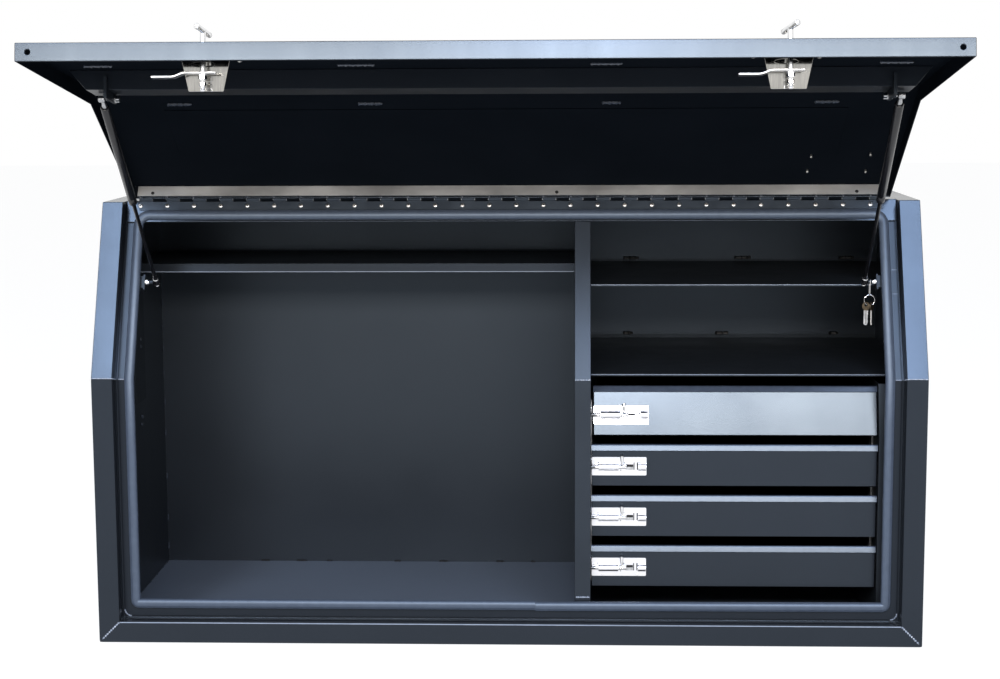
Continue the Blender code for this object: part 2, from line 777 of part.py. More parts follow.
def make_lock(side, lid_pivot):
    """Dish on the lid; handle and cam turn together about the shaft, y pointing into the box."""
    dish = make_dish(side)
    attach(dish, lid_pivot, -HINGE_AXIS)
    place = Matrix.Translation(Vector((LOCK_X[side], 0, LOCK_HEIGHT)) - HINGE_AXIS)
    pivot = new_pivot(f"{side}_lock_pivot", place, lid_pivot)
    outside = -GAP * 2 - DISH_SHEET
    handle = cylinder(f"{side}_lock_handle", (0, -HANDLE_REACH, 0), (0, outside, 0), HANDLE_STEM_RADIUS)
    shaft = cylinder(f"{side}_shaft", (0, -HANDLE_REACH / 2, 0), (0, SHAFT_END, 0), SHAFT_RADIUS)
    nut_start = CAM_DEPTH + CAM_SHEET + GAP
    nut = cylinder(
        f"{side}_lock_nut",
        (0, nut_start, 0),
        (0, nut_start + LOCK_NUT_HEIGHT, 0),
        LOCK_NUT_RADIUS,
        COARSE_SIDES,
    )
    half = HANDLE_LENGTH / 2
    turn = HANDLE_TURN[side]
    bar_end = Vector((half * math.sin(turn), 0, half * math.cos(turn)))
    middle = Vector((0, -HANDLE_REACH, 0))
    bar = cylinder(
        f"{side}_handle_bar", middle - bar_end, middle + bar_end, HANDLE_RADIUS, COARSE_SIDES
    )
    join(handle, shaft, nut, bar)
    give_material(handle, "chrome")
    cam = make_cam(side)
    attach(handle, pivot)
    attach(cam, pivot)


def make_cam(side):
    """A flat steel lever, cranked towards the inside of the box, pointing along the lid."""
    near, far = CAM_DEPTH, CAM_DEPTH + CAM_SHEET
    outline = [
        (CAM_TAIL, near),
        (CAM_TAIL, far),
        (-CAM_BEND_NEAR, far),
        (-CAM_BEND_FAR, far + CAM_CRANK),
        (-CAM_REACH, far + CAM_CRANK),
        (-CAM_REACH, near + CAM_CRANK),
        (-CAM_BEND_FAR, near + CAM_CRANK),
        (-CAM_BEND_NEAR, near),
    ]
    cam = prism(f"{side}_lock_cam", outline, -CAM_WIDTH / 2, CAM_WIDTH / 2, "xy")
    start, end = (0, near - OVERRUN, 0), (0, far + OVERRUN, 0)
    cut(cam, cylinder(f"{side}_cam_hole", start, end, SHAFT_RADIUS + SHAFT_CLEARANCE))
    give_material(cam, "zinc_steel")
    return cam


# Gas struts
def mirrored(point, sign):
    return Vector((sign * point.x, point.y, point.z))


def make_strut(side, sign, lid_pivot, lid_frame):
    """Tube on the lid's stud and rod to the box's stud, drawn along +Z from the upper stud."""
    top = mirrored(STRUT_TOP, sign) - HINGE_AXIS
    foot = lid_frame.inverted() @ mirrored(STRUT_FOOT, sign)
    along = (foot - top).normalized()
    length = (foot - top).length
    across = (Vector((1, 0, 0)) - along * along.x).normalized()
    turn = Matrix((across, along.cross(across), along)).transposed().to_4x4()
    pivot = new_pivot(f"{side}_strut_pivot", Matrix.Translation(top) @ turn, lid_pivot)

    half = Vector((STRUT_TOP_EYE / 2, 0, 0))
    tube = cylinder(
        f"{side}_strut_tube", (0, 0, STRUT_TUBE_START), (0, 0, STRUT_TUBE_END), STRUT_TUBE_RADIUS
    )
    eye = cylinder(f"{side}_top_eye", -half, half, STRUT_EYE_RADIUS)
    neck_end = STRUT_TUBE_START + STRUT_NECK_RADIUS / 2
    neck = cylinder(f"{side}_neck", (0, 0, 0), (0, 0, neck_end), STRUT_NECK_RADIUS, COARSE_SIDES)
    bore_start = STRUT_TUBE_START + STRUT_NECK_RADIUS
    bore_end = STRUT_TUBE_END - STRUT_GLAND
    bore = cylinder(f"{side}_bore", (0, 0, bore_start), (0, 0, bore_end), STRUT_BORE_RADIUS)
    gland_radius = (STRUT_ROD_RADIUS + STRUT_BORE_RADIUS) / 2
    gland = cylinder(
        f"{side}_gland",
        (0, 0, bore_end - STRUT_GLAND),
        (0, 0, STRUT_TUBE_END + OVERRUN),
        gland_radius,
    )
    join(tube, eye, neck)
    cut(tube, bore, gland)
    give_material(tube, "black_paint")

    rod_start = bore_end - STRUT_GLAND - STRUT_PISTON
    rod = cylinder(f"{side}_strut_rod", (0, 0, rod_start), (0, 0, length), STRUT_ROD_RADIUS)
    piston = cylinder(
        f"{side}_piston", (0, 0, rod_start), (0, 0, rod_start + STRUT_PISTON), STRUT_PISTON_RADIUS
    )
    half = Vector((STRUT_FOOT_EYE / 2, 0, 0))
    foot_at = Vector((0, 0, length))
    foot_eye = cylinder(f"{side}_foot_eye", foot_at - half, foot_at + half, STRUT_EYE_RADIUS)
    join(rod, piston, foot_eye)
    give_material(rod, "black_paint")
    attach(tube, pivot)
    attach(rod, pivot)


def make_top_lug(side, sign, lid_pivot):
    """The lug that wraps the channel's lower corner and carries a strut's upper stud."""
    stud_start = STRUT_TOP.x - STRUT_TOP_EYE / 2 - GAP * 2
    outer = stud_start - TOP_STUD
    inner = outer - TOP_LUG_SHEET
    seat = CHANNEL_DEPTH + GAP
    back = STRUT_TOP.z + TOP_LUG_WIDTH / 2
    front = CHANNEL_LOW - GAP
    tip = STRUT_TOP.y + STRUT_EYE_RADIUS
    outline = [
        (seat - TOP_LUG_RISE, front - TOP_LUG_LIP),
        (seat - TOP_LUG_RISE, front),
        (seat, front),
        (seat, back),
        (tip, back),
        (tip, front - TOP_LUG_LIP),
    ]
    lug = prism(f"{side}_strut_lug", outline, *sorted((sign * inner, sign * outer)))
    ends = [
        Vector((sign * end, STRUT_TOP.y, STRUT_TOP.z))
        for end in (inner - TOP_NUT_LENGTH, inner + GAP, outer - GAP, stud_start)
    ]
    nut = cylinder(f"{side}_top_nut", ends[0], ends[1], TOP_NUT_RADIUS, COARSE_SIDES)
    stud = cylinder(f"{side}_top_stud", ends[2], ends[3], STUD_RADIUS, COARSE_SIDES)
    join(lug, nut, stud)
    give_material(lug, "zinc_steel")
    attach(lug, lid_pivot, -HINGE_AXIS)


def make_foot_lug(side, sign):
    """The lug behind the frame's inner edge that carries a strut's lower stud."""
    near = GUTTER_DEPTH + SHEET + GAP
    stud_start = STRUT_FOOT.x + STRUT_FOOT_EYE / 2 + GAP * 2
    lug_x = stud_start + FOOT_STUD
    local = SLOPE_FRAME.inverted() @ STRUT_FOOT
    low, high = local.z - FOOT_LUG_WIDTH / 2, local.z + FOOT_LUG_WIDTH / 2
    x = sorted((sign * lug_x, sign * (lug_x + FOOT_LUG_SHEET)))
    lug = slope_box(f"{side}_strut_foot", (x[0], near + GAP, low), (x[1], near + FOOT_LUG_DEPTH, high))
    x = sorted((sign * (lug_x + FOOT_LUG_SHEET / 2), sign * (lug_x + FOOT_TAB)))
    tab_ends = low + FOOT_LUG_SHEET, high - FOOT_LUG_SHEET
    tab = slope_box(f"{side}_foot_tab", (x[0], near, tab_ends[0]), (x[1], near + SHEET, tab_ends[1]))
    ends = [
        (sign * end, STRUT_FOOT.y, STRUT_FOOT.z) for end in (stud_start, lug_x + FOOT_LUG_SHEET / 4)
    ]
    stud = cylinder(f"{side}_foot_stud", *ends, STUD_RADIUS, COARSE_SIDES)
    join(lug, tab, stud)
    give_material(lug, "zinc_steel")


# Divider and shelves
def make_divider():
    """A folded box section, open at the back, with a hole for each drawer's bolt."""
    high = ROOF_UNDERSIDE - GAP
    low = SHEET + GAP
    outline = side_outline(DIVIDER_DEPTH, low, high, BACK_FACE - GAP)
    divider = prism("divider", outline, DIVIDER_X, DIVIDER_X + DIVIDER_WIDTH)
    inner = side_outline(DIVIDER_DEPTH + DIVIDER_SHEET, low - OVERRUN, high + OVERRUN, DEPTH + OVERRUN)
    hollow = prism(
        "divider_hollow",
        inner,
        DIVIDER_X + DIVIDER_SHEET,
        DIVIDER_X + DIVIDER_WIDTH - DIVIDER_SHEET,
    )
    cut(divider, hollow)
    wall = DIVIDER_X + DIVIDER_WIDTH - DIVIDER_SHEET / 2
    for index in range(DRAWER_COUNT):
        centre = drawer_frame(index) @ Vector((0, bolt_axis_y(), BOLT_HEIGHT))
        ends = [(wall + sign * DIVIDER_WIDTH / 3, centre.y, centre.z) for sign in (-1, 1)]
        cut(divider, cylinder(f"bolt_hole_{index + 1}", *ends, BOLT_HOLE_RADIUS))
    give_material(divider, "powder_coat")


def make_shelf(name, left, right, front, height, back_lip):
    """A folded shelf: back lip up, front lip down, and leaning forward on the tool rail."""
    back = BACK_FACE - GAP
    under = height - SHELF_SHEET
    lip, lean = (RAIL_SHELF_LIP, RAIL_SHELF_LIP_LEAN) if name == "tool_rail" else (SHELF_LIP, 0)
    outline = [
        (front, height),
        (back - SHELF_SHEET, height),
        (back - SHELF_SHEET, height + back_lip),
        (back, height + back_lip),
        (back, under),
        (front + SHELF_SHEET, under),
        (front + SHELF_SHEET - lean, height - lip),
        (front - lean, height - lip),
    ]
    give_material(prism(name, outline, left, right), "powder_coat")


def make_shelves():
    inside = WALL - GAP
    left_of_divider = DIVIDER_X - GAP
    right_of_divider = DIVIDER_X + DIVIDER_WIDTH + GAP
    make_shelf(
        "tool_rail",
        -inside,
        left_of_divider,
        RAIL_SHELF_FRONT,
        RAIL_SHELF_HEIGHT,
        UPPER_SHELF_BACK_LIP,
    )
    make_shelf(
        "upper_shelf",
        right_of_divider,
        inside,
        UPPER_SHELF_FRONT,
        UPPER_SHELF_HEIGHT,
        UPPER_SHELF_BACK_LIP,
    )
    make_shelf(
        "lower_shelf",
        right_of_divider,
        inside,
        LOWER_SHELF_FRONT,
        LOWER_SHELF_HEIGHT,
        LOWER_SHELF_BACK_LIP,
    )
    plate = box(
        "left_wall_plate",
        (-inside, WALL_PLATE_FRONT, WALL_PLATE_LOW),
        (WALL_PLATE_SHEET - inside, WALL_PLATE_BACK, WALL_PLATE_HIGH),
    )
    give_material(plate, "powder_coat")


# Drawers
def drawer_tilt(index):
    """Drawers count from the bottom, and the top one's front leans back under the slope."""
    return TOP_DRAWER_TILT if index == DRAWER_COUNT - 1 else 0


def drawer_left(index):
    """The top drawer's front stops short of the others' on the left."""
    inset = TOP_DRAWER_INSET if index == DRAWER_COUNT - 1 else 0
    return inset - DRAWER_FRONT_WIDTH / 2


def drawer_bottom(index):
    return DRAWER_LOWEST + index * DRAWER_PITCH


def drawer_frame(index):
    """The tilted frame of a drawer's front: y into the box and z up its face, from its lower edge."""
    place = Matrix.Translation((DRAWER_CENTRE, DRAWER_FRONT, drawer_bottom(index)))
    return place @ Matrix.Rotation(-drawer_tilt(index), 4, "X")


def make_tray(index, pivot):
    """Tray with its front, and on each side a strip that runs in the rails."""
    tilt = drawer_tilt(index)
    height = TOP_DRAWER_FRONT_HEIGHT if tilt else DRAWER_FRONT_HEIGHT
    name = f"drawer_{index + 1}"
    right = DRAWER_FRONT_WIDTH / 2
    top = height - TRIM_CROWN - GAP
    tray = box(f"{name}_tray", (drawer_left(index), 0, 0), (right, DRAWER_SHEET, top))
    apply_matrix(tray, Matrix.Rotation(-tilt, 4, "X"))

    def outline(inset, high):
        """The tray from the side, its front edge inside the tilted front."""
        low = TRAY_RISE + inset
        back = TRAY_LENGTH - inset
        start = DRAWER_SHEET / 2 / math.cos(tilt) + inset
        front = [start + z * math.tan(tilt) for z in (low, high)]
        return [(front[0], low), (front[1], high), (back, high), (back, low)]

    half = TRAY_WIDTH / 2
    body = prism(f"{name}_body", outline(0, TRAY_RISE + TRAY_HEIGHT), -half, half)
    wide = half - DRAWER_SHEET
    room = prism(
        f"{name}_room", outline(DRAWER_SHEET, TRAY_RISE + TRAY_HEIGHT + OVERRUN), -wide, wide
    )
    join(tray, body)
    for side, sign in SIDE_SIGN.items():
        x = sorted((sign * (half - DRAWER_SHEET / 2), sign * (half + RUNNER_WIDTH)))
        strip = box(
            f"{name}_{side}_runner",
            (x[0], RUNNER_START, RUNNER_LOW),
            (x[1], RUNNER_END, RUNNER_LOW + RUNNER_HEIGHT),
        )
        join(tray, strip)
    cut(tray, room)
    give_material(tray, "powder_coat")
    attach(tray, pivot)


def make_trim(index, pivot):
    """Rubber edging pushed over the top edge of a drawer's front."""
    tilt = drawer_tilt(index)
    height = TOP_DRAWER_FRONT_HEIGHT if tilt else DRAWER_FRONT_HEIGHT
    name = f"drawer_{index + 1}_trim"
    left = drawer_left(index) - TRIM_OVERHANG
    right = DRAWER_FRONT_WIDTH / 2 + TRIM_OVERHANG
    low = height - TRIM_HEIGHT
    trim = box(name, (left, -TRIM_PROUD, low), (right, DRAWER_SHEET + TRIM_BACK, height))
    slot = box(
        f"{name}_slot",
        (left - OVERRUN, -GAP, low - OVERRUN),
        (right + OVERRUN, DRAWER_SHEET + GAP, height - TRIM_CROWN),
    )
    cut(trim, slot)
    give_material(trim, "seal_rubber")
    tilted = Matrix.Rotation(-tilt, 4, "X")
    apply_matrix(trim, tilted)
    apply_matrix(slot, tilted)
    attach(trim, pivot)


def bolt_axis_y():
    """How far in front of a drawer's face its bolt runs."""
    return -GAP - BOLT_PLATE_SHEET - BOLT_STANDOFF


def make_bolt(index, pivot):
    """A barrel bolt: plate and housings fixed to the front, and a rod with its knob."""
    tilted = Matrix.Rotation(-drawer_tilt(index), 4, "X")
    name = f"drawer_{index + 1}"
    left = drawer_left(index)
    axis = bolt_axis_y()
    low = BOLT_HEIGHT - BOLT_PLATE_HEIGHT / 2
    plate = box(
        f"{name}_bolt_plate",
        (left, -GAP - BOLT_PLATE_SHEET, low),
        (left + BOLT_PLATE_LENGTH, -GAP, low + BOLT_PLATE_HEIGHT),
    )
    shapes = [plate]
    for label, start, end in (
        ("barrel", BARREL_START, BARREL_END),
        ("keeper", KEEPER_START, KEEPER_END),
    ):
        ends = [(left + place, axis, BOLT_HEIGHT) for place in (start, end)]
        housing = cylinder(f"{name}_{label}", *ends, BARREL_RADIUS)
        foot = box(
            f"{name}_{label}_foot",
            (left + start + GAP, axis, BOLT_HEIGHT - BARREL_FOOT),
            (left + end - GAP, -GAP - BOLT_PLATE_SHEET / 2, BOLT_HEIGHT + BARREL_FOOT),
        )
        join(plate, housing, foot)
        shapes += [housing, foot]
    ends = [(left - OVERRUN, axis, BOLT_HEIGHT), (left + BOLT_PLATE_LENGTH + OVERRUN, axis, BOLT_HEIGHT)]
    bore = cylinder(f"{name}_bolt_bore", *ends, BOLT_ROD_RADIUS + BOLT_ROD_PLAY)
    cut(plate, bore)
    give_material(plate, "chrome")

    tip = DIVIDER_X + DIVIDER_WIDTH + GAP - DRAWER_CENTRE
    ends = [(tip, axis, BOLT_HEIGHT), (tip + BOLT_ROD_LENGTH, axis, BOLT_HEIGHT)]
    rod = cylinder(f"{name}_bolt_rod", *ends, BOLT_ROD_RADIUS)
    foot = Vector((left + KNOB_PLACE, axis, BOLT_HEIGHT))
    knob = cylinder(f"{name}_bolt_knob", foot, foot + Vector((0, 0, KNOB_REACH)), KNOB_RADIUS, COARSE_SIDES)
    join(rod, knob)
    give_material(rod, "chrome")
    shapes += [bore, rod, knob]
    for shape in shapes:
        apply_matrix(shape, tilted)
    attach(plate, pivot)
    bolt_pivot = new_pivot(f"{name}_bolt_pivot", Matrix.Identity(4), pivot)
    attach(rod, bolt_pivot)


def make_drawers():
    for index in range(DRAWER_COUNT):
        place = Matrix.Translation((DRAWER_CENTRE, DRAWER_FRONT, drawer_bottom(index)))
        pivot = new_pivot(f"drawer_{index + 1}_pivot", place)
        make_tray(index, pivot)
        make_trim(index, pivot)
        make_bolt(index, pivot)


def make_rack(side, sign, wall):
    """Four C-shaped rails on two straps, fixed to a wall at x."""
    tray_side = DRAWER_CENTRE + sign * TRAY_WIDTH / 2
    strip_end = tray_side + sign * RUNNER_WIDTH
    seat = wall - sign * GAP
    mouth = tray_side + sign * RUNNER_PLAY
    floor = strip_end + sign * RUNNER_PLAY
    start = DRAWER_FRONT + RUNNER_START - RUNNER_PLAY * 2
    lowest = drawer_bottom(0) + RUNNER_LOW - RUNNER_PLAY - RAIL_SHEET
    top = drawer_bottom(DRAWER_COUNT - 1) + RUNNER_LOW + RUNNER_HEIGHT + RUNNER_PLAY + RAIL_SHEET
    strap_x = sorted((seat, floor + sign * RAIL_SHEET / 4))
    rack = box(
        f"{side}_runner_rack",
        (strap_x[0], start + RAIL_STRAP, lowest - RAIL_STRAP),
        (strap_x[1], start + RAIL_STRAP * 2, top + RAIL_STRAP / 2),
    )
    rear = box(
        f"{side}_rack_rear_strap",
        (strap_x[0], RAIL_END - RAIL_STRAP * 2, lowest - RAIL_STRAP),
        (strap_x[1], RAIL_END - RAIL_STRAP, top + RAIL_STRAP / 2),
    )
    join(rack, rear)
    for index in range(DRAWER_COUNT):
        low = drawer_bottom(index) + RUNNER_LOW - RUNNER_PLAY
        high = low + RUNNER_HEIGHT + RUNNER_PLAY * 2
        rail_x = sorted((mouth, seat - sign * RAIL_SHEET / 4))
        rail = box(
            f"{side}_rail_{index + 1}",
            (rail_x[0], start, low - RAIL_SHEET),
            (rail_x[1], RAIL_END, high + RAIL_SHEET),
        )
        groove_x = sorted((mouth - sign * OVERRUN, floor))
        groove = box(
            f"{side}_groove_{index + 1}",
            (groove_x[0], start - OVERRUN, low),
            (groove_x[1], RAIL_END + OVERRUN, high),
        )
        join(rack, rail)
        cut(rack, groove)
    give_material(rack, "zinc_steel")


def make_liner():
    """The panel right of the drawers, its front edge turned outwards to the side wall."""
    low = SHEET + GAP
    lean_start = drawer_bottom(DRAWER_COUNT - 1)
    lean = (LINER_TOP - lean_start) * math.tan(TOP_DRAWER_TILT)
    back = BACK_FACE - GAP

    def outline(inset):
        front = LINER_FRONT + inset
        return [
            (front, low - inset),
            (front, lean_start),
            (front + lean, LINER_TOP + inset),
            (back + inset, LINER_TOP + inset),
            (back + inset, low - inset),
        ]

    liner = prism("runner_liner", outline(0), LINER_X, LINER_X + LINER_FLANGE)
    hollow = prism(
        "liner_hollow", outline(LINER_SHEET), LINER_X + LINER_SHEET, LINER_X + LINER_FLANGE + OVERRUN
    )
    cut(liner, hollow)
    give_material(liner, "powder_coat")


# Keys
def wire_loop(name, points, radius, frame):
    """A closed wire through points, as a bevelled curve made into a mesh."""
    curve = bpy.data.curves.new(name, "CURVE")
    curve.dimensions = "3D"
    curve.bevel_depth = radius
    curve.bevel_resolution = 1
    spline = curve.splines.new("POLY")
    spline.points.add(len(points) - 1)
    for point, place in zip(spline.points, points):
        point.co = (*place, 1)
    spline.use_cyclic_u = True
    return mesh_of_curve(curve, frame, name)


def stadium(inside, height, steps):
    """Points round a link whose straight sides are joined by half circles, hanging from z = 0."""
    radius = inside / 2
    points = []
    for middle, start in ((-radius, 0), (radius - height, math.pi)):
        for step in range(steps + 1):
            angle = start + math.pi * step / steps
            points.append((0, radius * math.cos(angle), middle + radius * math.sin(angle)))
    return points


def make_keys():
    """A wire link over the right lower stud, a ring through it, and two keys on the ring."""
    link_x = STRUT_FOOT.x + STRUT_FOOT_EYE / 2 + KEY_PLACE
    link_top = STUD_RADIUS + LINK_WIRE + GAP * 2
    pivot = new_pivot("keys_pivot", Matrix.Translation((link_x, STRUT_FOOT.y, STRUT_FOOT.z)))
    hang = Matrix.Translation((0, 0, link_top))
    link = wire_loop("key_link", stadium(LINK_INSIDE, LINK_HEIGHT, SIDES // 2), LINK_WIRE, hang)
    give_material(link, "zinc_steel")
    ring_z = link_top - LINK_HEIGHT + (LINK_WIRE + RING_WIRE + GAP * 2) - RING_RADIUS
    circle = [
        (
            RING_RADIUS * math.cos(2 * math.pi * step / FINE_SIDES),
            0,
            ring_z + RING_RADIUS * math.sin(2 * math.pi * step / FINE_SIDES),
        )
        for step in range(FINE_SIDES)
    ]
    ring = wire_loop("key_ring", circle, RING_WIRE, Matrix.Identity(4))
    give_material(ring, "zinc_steel")
    attach(link, pivot)
    attach(ring, pivot)
    for index, sign in enumerate((-1, 1)):
        attach(make_key(index, sign, ring_z), pivot)


def make_key(index, sign, ring_z):
    """A flat key, hung by the hole in its bow and turned part of the way round."""
    name = f"key_{index + 1}"
    bow_z = KEY_HOLE_INSET - KEY_BOW_RADIUS
    half = KEY_SHEET / 2
    key = cylinder(name, (0, -half, bow_z), (0, half, bow_z), KEY_BOW_RADIUS, FINE_SIDES)
    blade = box(
        f"{name}_blade",
        (-KEY_BLADE_WIDTH / 2, -half + GAP, KEY_HOLE_INSET - KEY_LENGTH),
        (KEY_BLADE_WIDTH / 2, half - GAP, bow_z),
    )
    hole = cylinder(f"{name}_hole", (0, -OVERRUN, 0), (0, OVERRUN, 0), KEY_HOLE_RADIUS)
    join(key, blade)
    cut(key, hole)
    give_material(key, "brass" if index else "zinc_steel")
    angle = -math.pi / 2 + sign * KEY_SPREAD
    drop = KEY_HOLE_RADIUS - RING_WIRE - GAP * 7
    place = Matrix.Translation(
        (RING_RADIUS * math.cos(angle), 0, ring_z + RING_RADIUS * math.sin(angle) - drop)
    )
    turn = place @ Matrix.Rotation(math.pi / 2 - sign * KEY_TURN, 4, "Z")
    for shape in (key, blade, hole):
        apply_matrix(shape, turn)
    return key


def make_box():
    make_shell()
    make_front_frame()
    make_seal_and_its_frame()
    make_divider()
    make_shelves()
    make_liner()
    make_rack("left", -1, DIVIDER_X + DIVIDER_WIDTH)
    make_rack("right", 1, LINER_X)
    make_drawers()
    lid_frame = Matrix.Translation(HINGE_AXIS) @ Matrix.Rotation(-OPEN_ANGLE, 4, "X")
    lid_pivot = new_pivot("lid_pivot", lid_frame)
    make_hinge(lid_pivot)
    make_lid(lid_pivot)
    for side, sign in SIDE_SIGN.items():
        make_lock(side, lid_pivot)
        make_strut(side, sign, lid_pivot, lid_frame)
        make_top_lug(side, sign, lid_pivot)
        make_foot_lug(side, sign)
    make_keys()
    drawn = [*PARTS.objects, *CUTTERS.objects]
    datum = new_pivot("front_edge_datum", Matrix.Translation((0, -DEPTH / 2, 0)))
    for obj in drawn:
        if not obj.parent:
            obj.parent = datum


clear_scene()
PARTS = new_collection("drawer_tool_box", False)
CUTTERS = new_collection("cutters", True)
make_box()
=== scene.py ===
# %% [markdown]
# # Dressing a drawer tool box
#
# This lesson takes the finished solids of a ute's drawer tool box and gives them the surfaces, rivets,
# welds, rubber and locks that the real one shows. The solids arrive as a fixed frame: every length here
# is in metres and every piece goes where the solids already are.

# %% Load the solids
import json
import math

import bmesh
import bpy
from mathutils import Matrix, Vector

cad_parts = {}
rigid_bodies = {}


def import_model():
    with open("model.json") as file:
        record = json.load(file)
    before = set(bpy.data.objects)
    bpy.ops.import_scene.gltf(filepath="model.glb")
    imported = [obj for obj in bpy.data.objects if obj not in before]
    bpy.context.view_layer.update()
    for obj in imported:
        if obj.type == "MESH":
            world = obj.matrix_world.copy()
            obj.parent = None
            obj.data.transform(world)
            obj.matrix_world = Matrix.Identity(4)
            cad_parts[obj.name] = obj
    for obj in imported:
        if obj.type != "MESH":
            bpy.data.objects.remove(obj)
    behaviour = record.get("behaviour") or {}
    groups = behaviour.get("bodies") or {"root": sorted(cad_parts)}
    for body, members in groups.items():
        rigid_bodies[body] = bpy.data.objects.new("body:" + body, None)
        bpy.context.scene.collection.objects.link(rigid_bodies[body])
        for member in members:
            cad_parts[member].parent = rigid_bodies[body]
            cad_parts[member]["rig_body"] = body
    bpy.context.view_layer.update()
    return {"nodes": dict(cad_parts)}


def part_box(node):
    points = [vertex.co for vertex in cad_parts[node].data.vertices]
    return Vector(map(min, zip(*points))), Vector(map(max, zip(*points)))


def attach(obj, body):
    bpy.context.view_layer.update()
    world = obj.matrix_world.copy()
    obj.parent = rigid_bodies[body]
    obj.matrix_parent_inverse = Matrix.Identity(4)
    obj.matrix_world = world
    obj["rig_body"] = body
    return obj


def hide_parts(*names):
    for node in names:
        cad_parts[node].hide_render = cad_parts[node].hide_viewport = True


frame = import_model()
NODES = frame["nodes"]

# %% [markdown]
# ## The places that everything hangs on
#
# The front is bent: upright to 490 mm, then it leans back. Two frames make that easy to work in. In the
# slope's frame x runs along the box, y goes in behind the sheet and z runs up the slope from its foot at
# the top edge. The lid is drawn closed, so the same numbers fit it, and one matrix swings it open.

# %% Frames of the slope, the lid, the drawers and the locks
FRONT = -0.300
KINK = 0.490
SETBACK = 0.130
TOP = 0.800
SLOPE = math.atan2(SETBACK, TOP - KINK)
HINGE = Vector((0, -0.140384, 0.803391))
OPEN = math.radians(98.8)

AT_FRONT = Matrix.Translation((0, FRONT, 0))
TO_SLOPE = Matrix.Translation((0, SETBACK, TOP)) @ Matrix.Rotation(-SLOPE, 4, "X")
BOX_SLOPE = AT_FRONT @ TO_SLOPE
LID = Matrix.Translation(HINGE) @ Matrix.Rotation(-OPEN, 4, "X") @ Matrix.Translation(-HINGE) @ AT_FRONT
LID_SLOPE = LID @ TO_SLOPE
LOCK_X = {"left": -0.431, "right": 0.439}
LOCK_Z = 0.092
DRAWER_X = 0.4135
DRAWER_FRONT = -0.225
DRAWER_LOW = [0.0912 + 0.0946 * index for index in range(4)]
DRAWER_TILT = [0, 0, 0, math.radians(14.7)]
DRAWERS = [
    Matrix.Translation((DRAWER_X, DRAWER_FRONT, low)) @ Matrix.Rotation(-tilt, 4, "X")
    for low, tilt in zip(DRAWER_LOW, DRAWER_TILT)
]
print("slope leans", round(math.degrees(SLOPE), 1), "degrees")

# %% [markdown]
# ## The camera
#
# The photo was taken a little right of the middle, from 3.4 m in front of the box and about 1 m up. The
# lens follows from the perspective of the frame's corners. The camera is made first, so that each piece
# can be judged from it.

# %% Camera
camera_data = bpy.data.cameras.new("photo_camera")
camera = bpy.data.objects.new("photo_camera", camera_data)
bpy.context.scene.collection.objects.link(camera)
bpy.context.scene.camera = camera
camera_data.sensor_width = 36
camera_data.lens = 36 * 1914.6 / 1000
camera_data.clip_end = 100
pitch, yaw, roll = (math.radians(angle) for angle in (7.696, -2.228, -0.279))
forward = Vector((math.sin(yaw) * math.cos(pitch), math.cos(yaw) * math.cos(pitch), -math.sin(pitch)))
level = Vector((math.cos(yaw), -math.sin(yaw), 0))
upright = level.cross(forward)
right = level * math.cos(roll) + upright * math.sin(roll)
up = upright * math.cos(roll) - level * math.sin(roll)
camera.matrix_world = Matrix.Translation((0.1206, -3.6812, 1.0187)) @ Matrix(
    (right, up, -forward)
).transposed().to_4x4()
print("lens", round(camera_data.lens, 1), "mm")

# %% [markdown]
# ## Colours and nodes
#
# Paint charts and photos give colours as sRGB hex, while the shaders want linear light. One function
# does the change. Another adds any node with its settings and links, so each finish below reads as a
# short list of what it is made of.

# %% Helpers for finishes
def linear(code):
    """An sRGB hex colour as linear red, green, blue and 1."""
    values = [int(code[place : place + 2], 16) / 255 for place in (1, 3, 5)]
    return (*(v / 12.92 if v <= 0.04045 else ((v + 0.055) / 1.055) ** 2.4 for v in values), 1)


def add_node(tree, kind, settings=(), links=()):
    """Adds one node. Settings are its own properties or its inputs' values, links are inputs to join."""
    node = tree.nodes.new(kind)
    for key, value in dict(settings).items():
        if isinstance(key, str) and hasattr(node, key):
            setattr(node, key, value)
        else:
            node.inputs[key].default_value = value
    for key, output in dict(links).items():
        tree.links.new(output, node.inputs[key])
    return node


def new_finish(name, slot, **settings):
    """A material with its shader's plain values, ready for patterns. slot is the record's name for it."""
    finish = bpy.data.materials.new(name)
    finish.use_nodes = True
    finish["slot"] = slot
    tree = finish.node_tree
    shader = tree.nodes["Principled BSDF"]
    for key, value in settings.items():
        shader.inputs[key.replace("_", " ").title().replace("Ior", "IOR")].default_value = value
    place = add_node(tree, "ShaderNodeTexCoord").outputs["Object"]
    return finish, tree, shader, place


print("black as the eye sees it:", [round(v, 4) for v in linear("#202226")[:3]])

# %% [markdown]
# ## Powder coat
#
# The box is folded sheet under a black polyester powder coat. The powder melts in an oven and sets
# as a satin skin with a fine orange peel, a ripple 1 to 2 mm across. That is finer than a pixel here, so it
# is drawn 4 mm wide. Hands and cloths leave duller patches about 120 mm across, which show only where
# the coat mirrors the sky, so they belong in the roughness and not in the colour. This black mirrors a
# little blue, which is its specular tint, and it is a weaker mirror where overspray left it dry, as
# inside the box. Under the lid it is drawn darker and mirrors nothing, which is painted shade.

# %% Powder coat
MM = 0.001


